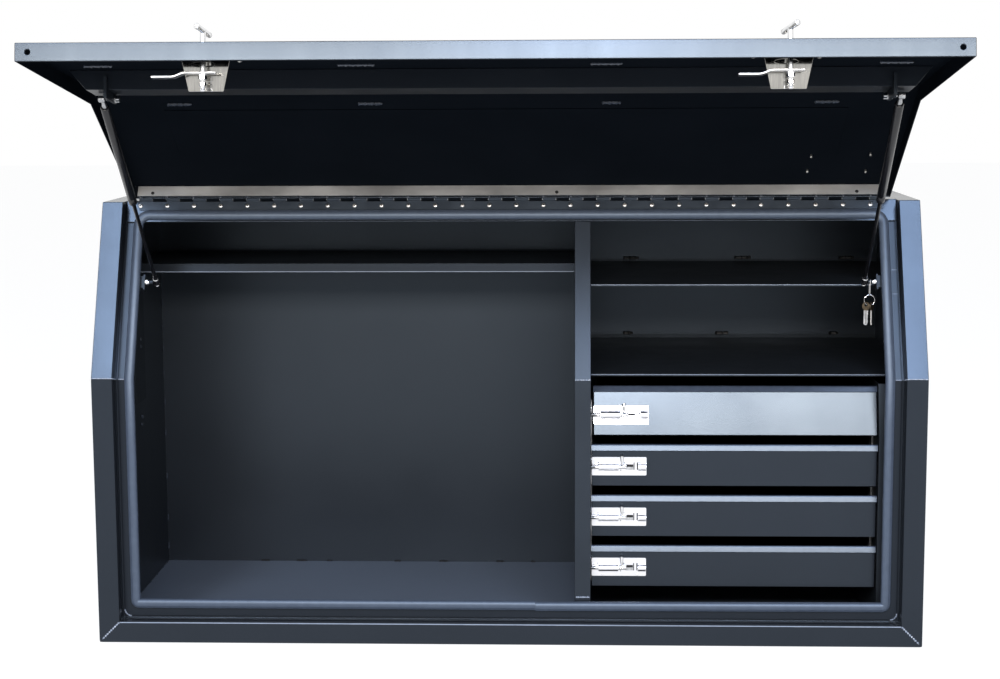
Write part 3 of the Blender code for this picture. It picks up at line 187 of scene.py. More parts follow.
def powder_coat(name, dark, light, patch=120 * MM, stretch=(1, 1, 1), rough=(0.2, 0.25), mirror=0.46):
    """dark and light are the coat's two close colours; patch is the smudges' width in metres."""
    finish, tree, shader, place = new_finish(
        name, "powder_coat", specular_ior_level=mirror, specular_tint=(0.68, 0.83, 1.0, 1.0)
    )
    spread = add_node(tree, "ShaderNodeMapping", {"Scale": stretch}, {"Vector": place})
    clouds = {"Scale": 1 / patch, "Detail": 4, "Roughness": 0.6}
    smudge = add_node(tree, "ShaderNodeTexNoise", clouds, {"Vector": spread.outputs[0]})
    spans = {"From Min": 0.3, "From Max": 0.7, "To Min": rough[0], "To Max": rough[1]}
    sheen = add_node(tree, "ShaderNodeMapRange", spans, {"Value": smudge.outputs[0]})
    tint = add_node(tree, "ShaderNodeMix", {"data_type": "RGBA"}, {"Factor": smudge.outputs[0]})
    tint.inputs[6].default_value, tint.inputs[7].default_value = linear(dark), linear(light)
    peel = add_node(tree, "ShaderNodeTexNoise", {"Scale": 1 / (4 * MM), "Detail": 1}, {"Vector": place})
    relief = {"Strength": 0.25, "Distance": 0.1 * MM}
    bump = add_node(tree, "ShaderNodeBump", relief, {"Height": peel.outputs[0]})
    tree.links.new(tint.outputs[2], shader.inputs["Base Color"])
    tree.links.new(sheen.outputs[0], shader.inputs["Roughness"])
    tree.links.new(bump.outputs[0], shader.inputs["Normal"])
    return finish


OUTER_COAT = powder_coat("black_powder_coat", "#0f1115", "#13151a")
WALL_COAT = powder_coat("black_powder_coat_walls", "#101215", "#1a1c1f", 300 * MM, rough=(0.33, 0.39))
# The inside coat; the strut lugs also wear it as painted shade.
INSIDE_COAT_AND_LUG_SHADE = powder_coat("black_powder_coat_inside", "#15171a", "#1d2023", rough=(0.36, 0.46), mirror=0.28)
FRAME_COAT = powder_coat("black_powder_coat_seal_frame", "#0f1115", "#13151a", rough=(0.3, 0.36), mirror=0.33)
# A paler copy of the coat for the hinge's box leaf: painted light on that strip.
LIT_LEAF_COAT = powder_coat("rubbed_powder_coat_hinge", "#1e2227", "#2b3036", 40 * MM, rough=(0.3, 0.4))
DIVIDER_COAT = powder_coat("black_powder_coat_divider", "#101216", "#15181d", rough=(0.33, 0.38))
# A pale grey copy of the coat, for the painted highlight lines along folded edges.
EDGE_HIGHLIGHT_COAT = powder_coat("powder_coat_rubbed_thin", "#6f7783", "#939ba7", 40 * MM, rough=(0.16, 0.2))
# Darker and with no mirror: painted shade for the coat under the lid.
UNDER_LID_SHADE_COAT = powder_coat("black_powder_coat_under_lid", "#0a0d10", "#101317", rough=(0.5, 0.6), mirror=0.0)
CHANNEL_COAT = powder_coat("black_powder_coat_channel", "#15181c", "#1b1e22", rough=(0.3, 0.36), mirror=0.14)
# A grey-blue copy of the coat for the box floor: painted sky light.
SKYLIT_FLOOR_COAT = powder_coat("dusty_powder_coat_floor", "#40464f", "#565e69", 500 * MM, rough=(0.45, 0.6))
LID_COAT = powder_coat(
    "black_powder_coat_wiped_lid", "#0f1115", "#14161a", 60 * MM, (1, 0.2, 0.2), (0.21, 0.26)
)
DRAWER_COAT = powder_coat(
    "black_powder_coat_handled_drawer", "#101216", "#15171c", rough=(0.18, 0.23), mirror=0.5
)
print("coats:", [coat.name for coat in bpy.data.materials if "slot" in coat])

# %% [markdown]
# ## Bare metals
#
# The hinge side of the lid is stiffened by a strip of mill-finish aluminium: dull, warm grey, with
# handling stains. The lock dishes are pressed from brushed stainless steel, whose grain runs down the
# dish. T-handles and bolt rods are bright chrome plate, bolt plates are satin chrome, and brackets are
# zinc-plated steel with faint crystals. Each is a metal with its own roughness and one pattern.

# %% Metals
def metal(name, slot, dark, light, rough, grain, stretch=(1, 1, 1), dents=0.0):
    """A bare or plated metal. grain is the pattern's size in metres before it is stretched."""
    finish, tree, shader, place = new_finish(name, slot, metallic=1.0, roughness=sum(rough) / 2)
    spread = add_node(tree, "ShaderNodeMapping", {"Scale": stretch}, {"Vector": place})
    clouds = {"Scale": 1 / grain, "Detail": 5, "Roughness": 0.6}
    pattern = add_node(tree, "ShaderNodeTexNoise", clouds, {"Vector": spread.outputs[0]})
    spans = {"From Min": 0.3, "From Max": 0.7}
    level = add_node(tree, "ShaderNodeMapRange", spans, {"Value": pattern.outputs[0]})
    tint = add_node(tree, "ShaderNodeMix", {"data_type": "RGBA"}, {"Factor": level.outputs[0]})
    tint.inputs[6].default_value, tint.inputs[7].default_value = linear(dark), linear(light)
    spans = {"To Min": rough[0], "To Max": rough[1]}
    dull = add_node(tree, "ShaderNodeMapRange", spans, {"Value": pattern.outputs[0]})
    tree.links.new(tint.outputs[2], shader.inputs["Base Color"])
    tree.links.new(dull.outputs[0], shader.inputs["Roughness"])
    if dents:
        relief = {"Strength": 0.4, "Distance": dents}
        bump = add_node(tree, "ShaderNodeBump", relief, {"Height": level.outputs[0]})
        tree.links.new(bump.outputs[0], shader.inputs["Normal"])
    return finish


MILL_ALUMINIUM = metal(
    "mill_finish_aluminium", "bare_aluminium", "#b3b3b2", "#dcdcda", (0.42, 0.62), 60 * MM, (0.5, 1, 1)
)
BRUSHED_STAINLESS = metal(
    "brushed_stainless_steel", "stainless", "#a09f9b", "#bab8b3", (0.06, 0.1), 3 * MM, (1, 0.06, 0.06),
    dents=0.03 * MM,
)
CHROME = metal("chrome_plate", "chrome", "#d8d9db", "#f0f0f0", (0.08, 0.22), 20 * MM)
SATIN_CHROME = metal("satin_chrome_bolt", "chrome", "#e2e3e7", "#efeff1", (0.27, 0.33), 60 * MM)
# Zinc plate; the bolts' troughs also use it as painted shade.
ZINC_AND_TROUGH_SHADE = metal("zinc_plated_steel", "zinc_steel", "#8f9194", "#c4c5c6", (0.2, 0.45), 6 * MM)
RIVET_ALUMINIUM = metal("aluminium_rivet", "bare_aluminium", "#b4b2ae", "#e2e0dc", (0.2, 0.4), 3 * MM)
print("metals:", len([m for m in bpy.data.materials if "slot" in m and m["slot"] != "powder_coat"]))

# %% [markdown]
# ## Rubber, paint and joint filler
#
# The door seal is extruded EPDM, a soft black rubber with a dusty bloom, so it is rougher and greyer
# than the coat. The drawer edging is PVC with moulded ribs. The gas springs have glossy black stoving
# paint on the tube and a dark nitrided rod. Weld beads lie under the same powder coat, and collect it.
# The beads in front are drawn pale grey, a painted highlight of the sky on that glossy coat.

# %% Rubber, paint and weld
def plain_finish(name, slot, dark, light, rough, grain, depth, metallic=0.0, tint=(1, 1, 1, 1)):
    """A finish with one speckle: dark and light are its colours, grain its size, depth its relief."""
    finish, tree, shader, place = new_finish(
        name, slot, roughness=rough, metallic=metallic, specular_tint=tint
    )
    speck = add_node(tree, "ShaderNodeTexNoise", {"Scale": 1 / grain, "Detail": 3}, {"Vector": place})
    tint = add_node(tree, "ShaderNodeMix", {"data_type": "RGBA"}, {"Factor": speck.outputs[0]})
    tint.inputs[6].default_value, tint.inputs[7].default_value = linear(dark), linear(light)
    relief = {"Strength": 0.4, "Distance": depth}
    bump = add_node(tree, "ShaderNodeBump", relief, {"Height": speck.outputs[0]})
    tree.links.new(tint.outputs[2], shader.inputs["Base Color"])
    tree.links.new(bump.outputs[0], shader.inputs["Normal"])
    return finish


BLUE_SHEEN = (0.7, 0.84, 1.0, 1.0)
SEAL_RUBBER = plain_finish(
    "epdm_rubber_seal", "seal_rubber", "#313843", "#404854", 0.4, 12 * MM, 0.1 * MM, tint=BLUE_SHEEN
)
EDGE_RUBBER = plain_finish(
    "ribbed_pvc_edging", "seal_rubber", "#23272f", "#343a45", 0.26, 9 * MM, 0.1 * MM, tint=BLUE_SHEEN
)
STRUT_PAINT = plain_finish(
    "stoved_black_paint", "black_paint", "#0c0c0e", "#121215", 0.24, 40 * MM, 0.02 * MM
)
NITRIDED_ROD = plain_finish(
    "nitrided_steel_rod", "black_paint", "#141416", "#1d1d20", 0.2, 20 * MM, 0.01 * MM, 0.6
)
# Pale grey beads for the front: a painted highlight.
WELD_HIGHLIGHT_FINISH = plain_finish(
    "glossy_coated_weld_bead", "powder_coat", "#59606b", "#9aa2ae", 0.18, 3 * MM, 0.3 * MM
)
WELD = plain_finish("coated_weld_bead", "powder_coat", "#24282e", "#3d434c", 0.2, 3 * MM, 0.3 * MM)
# Near black: sooty weld at the back seams, and painted shade on the left lock's crimp.
DARK_WELD_AND_SHADE = plain_finish("sooty_weld_bead", "powder_coat", "#050506", "#0e0f10", 0.5, 3 * MM, 0.3 * MM)
# Pure black for hollows, holes and gaps: painted shade.
SHADE_BLACK = plain_finish("open_hole", "black_paint", "#020203", "#050506", 0.8, 5 * MM, 0.02 * MM)
print("finishes in all:", len([m for m in bpy.data.materials if "slot" in m]))

# %% [markdown]
# ## Tools that make pieces
#
# Four small makers cover this box. A lathe turns rivets, rods, nuts and knobs. A sweep draws the seal,
# the edging, wires and weld beads along a path. A plate lifts a flat outline to a thickness. The last
# one takes a solid of the frame and rounds its folds, because folded sheet never has a sharp edge, and
# the thin bright lines along the real box's folds are what shows its shape.

# %% Makers
def place_piece(name, bm, finish, body, replaces=(), frame_matrix=None, sharp=35):
    """Turns a bmesh into a piece that rides on a body and stands for the nodes it replaces."""
    if frame_matrix is not None:
        bmesh.ops.transform(bm, matrix=frame_matrix, verts=bm.verts)
    bmesh.ops.recalc_face_normals(bm, faces=bm.faces)
    mesh = bpy.data.meshes.new(name)
    bm.to_mesh(mesh)
    bm.free()
    mesh.shade_smooth()
    mesh.set_sharp_from_angle(angle=math.radians(sharp))
    obj = bpy.data.objects.new(name, mesh)
    bpy.context.scene.collection.objects.link(obj)
    mesh.materials.append(finish)
    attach(obj, body)
    if replaces:
        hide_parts(*replaces)
    return obj


def in_mm(pairs):
    """Pairs of millimetres in metres."""
    return [(a * MM, b * MM) for a, b in pairs]


def lathe(bm, start, end, profile, sides=24):
    """Turns a profile of (distance from start, radius) pairs about the line from start to end."""
    start, end = Vector(start), Vector(end)
    turn = (end - start).to_track_quat("Z", "Y").to_matrix()
    rings = []
    for along, radius in profile:
        ring = []
        for step in range(sides if radius else 1):
            angle = 2 * math.pi * step / sides
            point = Vector((radius * math.cos(angle), radius * math.sin(angle), along))
            ring.append(bm.verts.new(start + turn @ point))
        rings.append(ring)
    for near, far in zip(rings, rings[1:]):
        for step in range(sides):
            corners = [near[step % len(near)], near[(step + 1) % len(near)]]
            corners += [far[(step + 1) % len(far)], far[step % len(far)]]
            corners = list(dict.fromkeys(corners))
            if len(corners) > 2:
                bm.faces.new(corners)
    for ring in (rings[0], rings[-1]):
        if len(ring) > 2:
            bm.faces.new(ring)


def rod(bm, start, end, radius, soft=0.3, sides=24):
    """A round bar whose ends are eased by a share of its radius."""
    length = (Vector(end) - Vector(start)).length
    ease = radius * soft
    small = ease * 0.3
    profile = [(0, 0), (0, radius - ease), (small, radius - small), (ease, radius), (length - ease, radius)]
    profile += [(length - small, radius - small), (length, radius - ease), (length, 0)]
    lathe(bm, start, end, profile, sides)


def sweep(bm, path, profile, outward, closed=False, swell=None):
    """Draws a closed profile of (across, out) pairs along a path. outward gives each point's out side."""
    count = len(path)
    rings = []
    for index, point in enumerate(path):
        before = path[index - 1] if index or closed else point
        after = path[(index + 1) % count] if index < count - 1 or closed else point
        along = (Vector(after) - Vector(before)).normalized()
        out = Vector(outward[index])
        out = (out - along * out.dot(along)).normalized()
        across = along.cross(out)
        grow = swell[index] if swell else 1
        rings.append([bm.verts.new(Vector(point) + (across * a + out * b) * grow) for a, b in profile])
    for index in range(count if closed else count - 1):
        near, far = rings[index], rings[(index + 1) % count]
        for step in range(len(profile)):
            follow = (step + 1) % len(profile)
            bm.faces.new([near[step], near[follow], far[follow], far[step]])
    if not closed:
        bm.faces.new(rings[0])
        bm.faces.new(rings[-1][::-1])


def circle(radius, sides=10):
    steps = [2 * math.pi * step / sides for step in range(sides)]
    return [(radius * math.cos(angle), radius * math.sin(angle)) for angle in steps]


def plate(bm, outline, thickness, matrix=None, holes=()):
    """A flat outline in x and z, with holes, lifted by thickness along y."""
    curve = bpy.data.curves.new("outline", "CURVE")
    curve.dimensions, curve.fill_mode, curve.extrude = "2D", "BOTH", thickness / 2
    for line in (outline, *holes):
        spline = curve.splines.new("POLY")
        spline.points.add(len(line) - 1)
        for point, (x, z) in zip(spline.points, line):
            point.co = (x, z, 0, 1)
        spline.use_cyclic_u = True
    guide = bpy.data.objects.new("outline", curve)
    bpy.context.scene.collection.objects.link(guide)
    graph = bpy.context.evaluated_depsgraph_get()
    mesh = bpy.data.meshes.new_from_object(guide.evaluated_get(graph))
    stand = Matrix(((1, 0, 0, 0), (0, 0, -1, thickness / 2), (0, 1, 0, 0), (0, 0, 0, 1)))
    mesh.transform((matrix or Matrix.Identity(4)) @ stand)
    bm.from_mesh(mesh)
    bpy.data.objects.remove(guide)
    bpy.data.curves.remove(curve)
    bpy.data.meshes.remove(mesh)
    bmesh.ops.remove_doubles(bm, verts=bm.verts, dist=0.00001)


def rounded(low_x, low_z, high_x, high_z, radius, steps=5):
    """The outline of a rectangle with rounded corners."""
    points = []
    for x, z, start in (
        (high_x - radius, high_z - radius, 0),
        (low_x + radius, high_z - radius, 90),
        (low_x + radius, low_z + radius, 180),
        (high_x - radius, low_z + radius, 270),
    ):
        for step in range(steps + 1):
            angle = math.radians(start + 90 * step / steps)
            points.append((x + radius * math.cos(angle), z + radius * math.sin(angle)))
    return points


def fold(node, finish, width, segments=2, corners=(), limit=20):
    """Rounds a sheet solid's folds that are sharper than limit degrees, by width.

    corners are (x, z, radius) of outline corners to round more.
    """
    bm = bmesh.new()
    bm.from_mesh(NODES[node].data)
    bmesh.ops.remove_doubles(bm, verts=bm.verts, dist=0.00003)
    bmesh.ops.dissolve_limit(bm, angle_limit=math.radians(0.5), verts=bm.verts, edges=bm.edges)
    for x, z, radius in corners:
        chosen = [
            edge
            for edge in bm.edges
            if all((Vector((v.co.x, v.co.z)) - Vector((x, z))).length < 0.002 for v in edge.verts)
        ]
        bmesh.ops.bevel(bm, geom=chosen, offset=radius, segments=5, profile=0.5, affect="EDGES")
    pairs = [edge for edge in bm.edges if len(edge.link_faces) == 2]
    sharp = [edge for edge in pairs if edge.calc_face_angle() > math.radians(limit)]
    bmesh.ops.bevel(
        bm, geom=sharp, offset=width, segments=segments, profile=0.5, affect="EDGES", clamp_overlap=False
    )
    body = NODES[node]["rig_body"]
    obj = place_piece(f"{node}_folded", bm, finish, body, [node])
    smooth = obj.modifiers.new("even_light", "WEIGHTED_NORMAL")
    smooth.keep_sharp = False
    obj.data.attributes.remove(obj.data.attributes["sharp_edge"])
    return obj


def finish_node(finish, *nodes):
    """Gives solids whose shape is already right their finish."""
    for node in nodes:
        NODES[node].data.materials.clear()
        NODES[node].data.materials.append(finish)


print("makers ready")

# %% [markdown]
# ## The folded shell
#
# Most of the box is 2.5 mm sheet. Panels inside and behind are plain, so their solids only need the
# coat. The front frame, the roof, the lid and the drawers are what the eye reads, so their folds are
# rounded to about the bend radius of such sheet. The front frame's lower corners are filed round.

# %% Shell
finish_node(WALL_COAT, "left_side_panel", "right_side_panel", "back_panel")
# The floor panel's coat is drawn grey-blue, as painted sky light.
finish_node(SKYLIT_FLOOR_COAT, "floor_panel")
finish_node(INSIDE_COAT_AND_LUG_SHADE, "left_wall_plate", "upper_shelf", "lower_shelf")
finish_node(CHANNEL_COAT, "tool_rail")
fold("front_frame", OUTER_COAT, 1.0 * MM, corners=[(-0.75, 0, 4 * MM), (0.75, 0, 4 * MM)])
fold("roof_panel", OUTER_COAT, 1.0 * MM)
fold("seal_frame", FRAME_COAT, 1.1 * MM, corners=[(-0.708, 0.042, 12 * MM), (0.708, 0.042, 12 * MM)])
fold("divider", DIVIDER_COAT, 0.9 * MM)
fold("runner_liner", INSIDE_COAT_AND_LUG_SHADE, 0.9 * MM)
lid = fold("lid_shell", LID_COAT, 1.2 * MM)
fold("lid_channel", CHANNEL_COAT, 0.9 * MM)
fold("lid_stiffener", UNDER_LID_SHADE_COAT, 0.4 * MM)
finish_node(MILL_ALUMINIUM, "lid_backing_strip", "badge_plate")
finish_node(ZINC_AND_TROUGH_SHADE, "left_runner_rack", "right_runner_rack", "hinge_pin")

# %% The painted shade inside the lid
LID_HALF = 0.700
LID_LOW = 0.042
LID_HIGH_UP = 0.0087
HALF_SHEET = 1.3 * MM
# Faces behind the lid's skin and within its rim get the darker coat, as painted shade.
lid.data.materials.append(UNDER_LID_SHADE_COAT)
inside = 0
for face in lid.data.polygons:
    x, depth, z = LID.inverted() @ face.center
    _, slope_depth, slope_up = LID_SLOPE.inverted() @ face.center
    behind_skin = min(depth, slope_depth) > HALF_SHEET
    within_rim = abs(x) < LID_HALF - HALF_SHEET and z > LID_LOW + HALF_SHEET
    if behind_skin and within_rim and slope_up < LID_HIGH_UP - HALF_SHEET:
        face.material_index = 1
        inside += 1
print("faces inside the lid:", inside)

# %% [markdown]
# ## Painted edge highlights
#
# Each shelf's front edge, both edges of the tool rail's lip and the inner edge of the front's lower face
# catch the sky as a thin bright line. That line is painted: a polished pale grey round of 1.1 mm radius,
# swept along the edge, is a painted highlight that stays at its place from any side.

# %% Painted edge highlights
SHELF_TOP = {"tool_rail": 0.667, "upper_shelf": 0.646, "lower_shelf": 0.4855}
RAIL_FRONT = 0.020
EDGE_HIGHLIGHT_RADIUS = 1.1 * MM


# Sweeps a pale round along an edge: a painted highlight line.
def hem(name, left, right, depth, height, out=(0, -1, 1)):
    bm = bmesh.new()
    path = [Vector((x, depth, height)) for x in (left, right)]
    sweep(bm, path, circle(EDGE_HIGHLIGHT_RADIUS, 10), [out] * 2)
    place_piece(name, bm, EDGE_HIGHLIGHT_COAT, "box")


for node, top in SHELF_TOP.items():
    low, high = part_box(node)
    front = RAIL_FRONT if node == "tool_rail" else low[1]
    hem(f"{node}_rubbed_edge", low[0] + MM, high[0] - MM, front + MM, top - MM)
hem("tool_rail_lip_rubbed_edge", -0.746, 0.121, 0.0162, 0.6517, (0, -1, 0))
hem("lower_face_rubbed_edge", -0.7115, 0.7115, FRONT + 0.9 * MM, 0.038 - 0.9 * MM)

# %% [markdown]
# ## The piano hinge and its rivets
#
# A continuous hinge is two long leaves on one pin. Blind rivets every 50 mm hold each leaf: a domed
# aluminium head 8 mm across, with the hollow of the broken steel mandrel as a dark dot of painted shade in
# its middle. All heads of a leaf are one turned shape, repeated along x, so they make one piece.

# %% Hinge and rivets
# The box's leaf is drawn paler than the coat around it, as painted light.
finish_node(LIT_LEAF_COAT, "hinge_box_leaf")
finish_node(UNDER_LID_SHADE_COAT, "hinge_lid_leaf")
RIVET_HEAD = [(0, 0), (0, 4.1), (0.5, 4.0), (1.1, 3.1), (1.4, 2.1), (1.4, 1.7), (0.8, 1.6), (0.8, 0)]


def rivet_row(name, matrix, places, out, body, scale=1.0, dot=False, finish=RIVET_ALUMINIUM):
    """Rivet heads at (x, y, z) places in a frame, facing out. dot adds the broken mandrels' hollows as dark
    dots of painted shade.
    """
    out = Vector(out)
    heads, dots = bmesh.new(), bmesh.new()
    for place in places:
        start = Vector(place)
        lathe(heads, start, start + out, [(a * scale * MM, r * scale * MM) for a, r in RIVET_HEAD], 16)
        if dot:
            rod(dots, start + out * 0.7 * MM, start + out * 1.2 * MM, 1.5 * MM, 0.2, 10)
    place_piece(name, heads, finish, body, frame_matrix=matrix)
    if dot:
        place_piece(f"{name}_mandrels", dots, SHADE_BLACK, body, frame_matrix=matrix)


ROW = [-0.6856 + 0.05 * index for index in range(28)]
rivet_row("box_leaf_rivets", BOX_SLOPE, [(x, 0.0285, 0.0023) for x in ROW], (0, -1, 0), "box", dot=True)
print("rivets along the hinge:", len(ROW))

# %% [markdown]
# ## The door seal
#
# The lid closes on one length of bulb seal, pushed along the inner frame, whose edge it overlaps. Its
# section is one broad bulb, 18 mm wide, with a faint crease along it where the hollow starts. A short
# profile is swept round the bent opening. The lower corners are nearly square, the upper ones are pulled
# round, and the two ends meet in a butt joint low down, where one end sits a little lower than the other.

# %% Door seal
SEAL_DEPTH = 25.7 * MM
SEAL_HALF = 687 * MM
SEAL_LOW = 66 * MM
SEAL_TOP_UP = -15.8 * MM
SEAL_JOINT = 50 * MM


def kink_height(depth):
    """Where the fold lies at a depth behind the front."""
    return KINK - depth * math.tan(SLOPE / 2)


def upright_place(x, z, depth=SEAL_DEPTH):
    return Vector((x, FRONT + depth, z)), Vector((0, -1, 0))


def slope_place(x, up, depth=SEAL_DEPTH):
    return BOX_SLOPE @ Vector((x, depth, up)), BOX_SLOPE.to_3x3() @ Vector((0, -1, 0))


def arc(x, z, radius, start, end, steps=5):
    """Points on a circle about (x, z), angles in degrees."""
    angles = [math.radians(start + (end - start) * step / steps) for step in range(steps + 1)]
    return [(x + radius * math.cos(a), z + radius * math.sin(a)) for a in angles]


low_radius, top_radius = 7 * MM, 20 * MM
right_low = arc(SEAL_HALF - low_radius, SEAL_LOW + low_radius, low_radius, -90, 0)
right_top = arc(SEAL_HALF - top_radius, SEAL_TOP_UP - top_radius, top_radius, 0, 90)
drop = 1.6 * MM
seal_route = [upright_place(SEAL_JOINT + 0.4 * MM, SEAL_LOW - drop)]
seal_route += [upright_place(x, SEAL_LOW - drop * (1 - x / SEAL_HALF)) for x in (0.2, 0.35, 0.5)]
seal_route += [upright_place(x, z) for x, z in right_low]
seal_route += [upright_place(SEAL_HALF, 0.2), upright_place(SEAL_HALF, 0.35)]
KINK_OUT = (Vector((0, -1, 0)) + slope_place(0, 0)[1]).normalized()
seal_route += [(upright_place(SEAL_HALF, kink_height(SEAL_DEPTH))[0], KINK_OUT)]
seal_route += [slope_place(x, z) for x, z in right_top]
seal_route += [slope_place(-x, z) for x, z in reversed(right_top)]
seal_route += [(upright_place(-SEAL_HALF, kink_height(SEAL_DEPTH))[0], KINK_OUT)]
seal_route += [upright_place(-SEAL_HALF, 0.35), upright_place(-SEAL_HALF, 0.2)]
seal_route += [upright_place(-x, z) for x, z in reversed(right_low)]
seal_route += [upright_place(x, SEAL_LOW) for x in (-0.5, -0.3, -0.1)]
seal_route += [upright_place(SEAL_JOINT, SEAL_LOW)]

SEAL_STEPS = 18
CREASE_STEP = 5
seal_profile = []
for step in range(SEAL_STEPS + 1):
    angle = math.pi * step / SEAL_STEPS
    crease = 0.7 if step == CREASE_STEP else 0
    rise = abs(math.sin(angle)) ** 0.7 * 7.9 - 4 - crease
    seal_profile.append((9 * MM * math.cos(angle), rise * MM))

seal = bmesh.new()
sweep(seal, [p for p, _ in seal_route], seal_profile, [o for _, o in seal_route])
place_piece("door_seal_bulb", seal, SEAL_RUBBER, "box", ["door_seal"], sharp=50)
print("seal length:", round(sum((b[0] - a[0]).length for a, b in zip(seal_route, seal_route[1:])), 2), "m")

# %% [markdown]
# ## Drawers and their edging
#
# A drawer is a folded tray with a taller front. The top edge of the front carries soft PVC edging, a
# U-shaped strip with a rounded crown and fine ribs. The uppermost drawer's front leans back, so it shows
# the bright sky while the others show the ground.

# %% Drawers
TRIM_LEFT = [-0.2607, -0.2607, -0.2607, -0.2572]
TRIM_RIGHT = 0.2607
TRIM_TOP = [77.5 * MM, 77.5 * MM, 77.5 * MM, 91 * MM]


def make_edging(index):
    """The edging's section has its front towards +across: a face that leans back 17 degrees to the crown."""
    crown = [(1.1, -3.2), (0.6, -1.6), (-0.4, -0.5), (-1.7, 0), (-3.2, -0.3), (-4.7, -1.5), (-5.5, -4.2)]
    legs = [(-5.5, -11.2), (-4.9, -12), (-2.4, -12), (-2.4, -3)]
    legs += [(0.4, -3), (0.4, -12), (2.9, -12), (3.5, -11.2)]
    bm = bmesh.new()
    ends = [Vector((x, 0, TRIM_TOP[index])) for x in (TRIM_LEFT[index], TRIM_RIGHT)]
    sweep(bm, ends, in_mm(crown + legs), [(0, 0, 1)] * 2)
    name = f"drawer_{index + 1}"
    place_piece(f"{name}_edging", bm, EDGE_RUBBER, name, [f"{name}_trim"], DRAWERS[index], sharp=50)


for index in range(4):
    fold(f"drawer_{index + 1}_tray", DRAWER_COAT, 0.8 * MM)
    make_edging(index)
print("drawers:", index + 1)

# %% [markdown]
# ## Barrel bolts
#
# Each drawer is held shut by a small stamped bolt. One plate is pressed up into a barrel at the left and
# a short guide at the right, with a window and two slots between them. The rod runs through both and
# carries a tapered knob. The plate has rounded corners and four flush rivets. The stamping is drawn as a
# thin plate with real holes and two swept humps.

# %% Barrel bolts
BOLT_LEFT = [-0.2597, -0.2597, -0.2597, -0.2562]
BOLT_TIP = 0.1516
BOLT_Z = 36.5 * MM
PLATE_FACE = -1.8 * MM
ROD_AXIS = -7.3 * MM
HUMP = (
    [(8.0, 0.0), (7.9, 0.7), (6.9, 1.5), (6.5, 3.2)]
    + arc(0, 5.5, 6.5, 0, 180, 12)
    + [(-6.5, 3.2), (-6.9, 1.5), (-7.9, 0.7), (-8.0, 0.0), (-5.1, 0.0)]
    + arc(0, 5.5, 5.1, 180, 0, 12)
    + [(5.1, 0.0)]
)


def hump(bm, start, end):
    """A stretch of the stamped barrel between two distances from the plate's left end."""
    path = [Vector((x * MM, PLATE_FACE, 0)) for x in (start, end)]
    sweep(bm, path, in_mm(HUMP), [(0, -1, 0)] * 2)


def slot(low_x, low_z, high_x, high_z):
    return rounded(low_x * MM, low_z * MM, high_x * MM, high_z * MM, 0.4 * MM, 2)


def make_bolt(index):
    name = f"drawer_{index + 1}"
    place = DRAWERS[index] @ Matrix.Translation((BOLT_LEFT[index], 0, BOLT_Z))
    stamping = bmesh.new()
    outline = rounded(0, -17 * MM, 100 * MM, 17 * MM, 2 * MM)
    holes = [slot(76.4, -6.8, 78.2, 7.2), slot(82.4, -6.8, 84.4, 7.2), slot(62.6, -1.4, 76.0, 3.6)]
    holes += [slot(11.2, 4.6, 12.3, 8.2), slot(58.6, 4.4, 60.0, 8.2), slot(52.4, -8.6, 53.8, -6.2)]
    plate(stamping, outline, 1.5 * MM, Matrix.Translation((0, PLATE_FACE + 0.75 * MM, 0)), holes)
    hump(stamping, 12.5, 48.6)
    hump(stamping, 85, 99)
    for x, z in ((18, 12), (86, 12.5), (20, -14), (84, -14)):
        head = Vector((x * MM, PLATE_FACE, z * MM))
        dome = in_mm([(0, 2.1), (0.25, 2.0), (0.5, 1.2), (0.55, 0)])
        lathe(stamping, head, head + Vector((0, -1, 0)), dome, 16)
    place_piece(f"{name}_bolt_stamping", stamping, SATIN_CHROME, name, [f"{name}_bolt_plate"], place)

    # Below the window, a darker zinc plate laid on the stamping is painted shade in the pressed trough.
    trough = bmesh.new()
    lower = rounded(62 * MM, -6.4 * MM, 76.6 * MM, -0.9 * MM, 0.5 * MM)
    plate(trough, lower, 0.4 * MM, Matrix.Translation((0, PLATE_FACE - 0.3 * MM, 0)))
    place_piece(f"{name}_bolt_trough", trough, ZINC_AND_TROUGH_SHADE, name, frame_matrix=place)
    shadow = bmesh.new()
    behind = rounded(10 * MM, -9 * MM, 86 * MM, 9 * MM, 0.5 * MM)
    plate(shadow, behind, 0.2 * MM, Matrix.Translation((0, -0.18 * MM, 0)))
    place_piece(f"{name}_bolt_shadow_gap", shadow, SHADE_BLACK, name, frame_matrix=place)

    tip = BOLT_TIP - DRAWER_X - BOLT_LEFT[index]
    bolt = bmesh.new()
    rod(bolt, (tip, ROD_AXIS, 0), (63.5 * MM, ROD_AXIS, 0), 3.5 * MM, 0.25)
    neck = Vector((55.5 * MM, ROD_AXIS, 0))
    knob = [(0, 1.6), (6, 1.9), (8.5, 2.4), (12.5, 3.1), (18.5, 3.3), (20.2, 3.0), (21, 2.0), (21, 0)]
    lathe(bolt, neck, neck + Vector((-0.03, 0, 1)), in_mm(knob), 16)
    place_piece(f"{name}_bolt_pin", bolt, CHROME, f"bolt_{index + 1}", [f"{name}_bolt_rod"], place)


for index in range(4):
    make_bolt(index)
print("bolts:", index + 1)

# %% [markdown]
# ## T-handle locks
#
# Outside the lid a chrome T-bar turns a shaft. Inside, the shaft comes down past the back of the pressed
# dish, carries a flat cranked lever that swings under the box's frame, and ends in a thread with two
# nuts. Turned profiles make the shaft and nuts: a nut is a lathe with six sides.

# %% Locks
HANDLE_TURN = {"left": math.radians(3), "right": math.radians(-9)}
SHAFT_END = 66
THREAD = [(58.5 + 0.75 * turn, 4.0 if turn % 2 else 3.5) for turn in range(9)]


def nut(bm, start, end, radius):
    """A hexagonal nut with its corners chamfered."""
    length = (Vector(end) - Vector(start)).length
    chamfer = radius * 0.12
    profile = [(0, 0), (0, radius - chamfer), (chamfer, radius)]
    profile += [(length - chamfer, radius), (length, radius - chamfer), (length, 0)]
    lathe(bm, start, end, profile, 6)


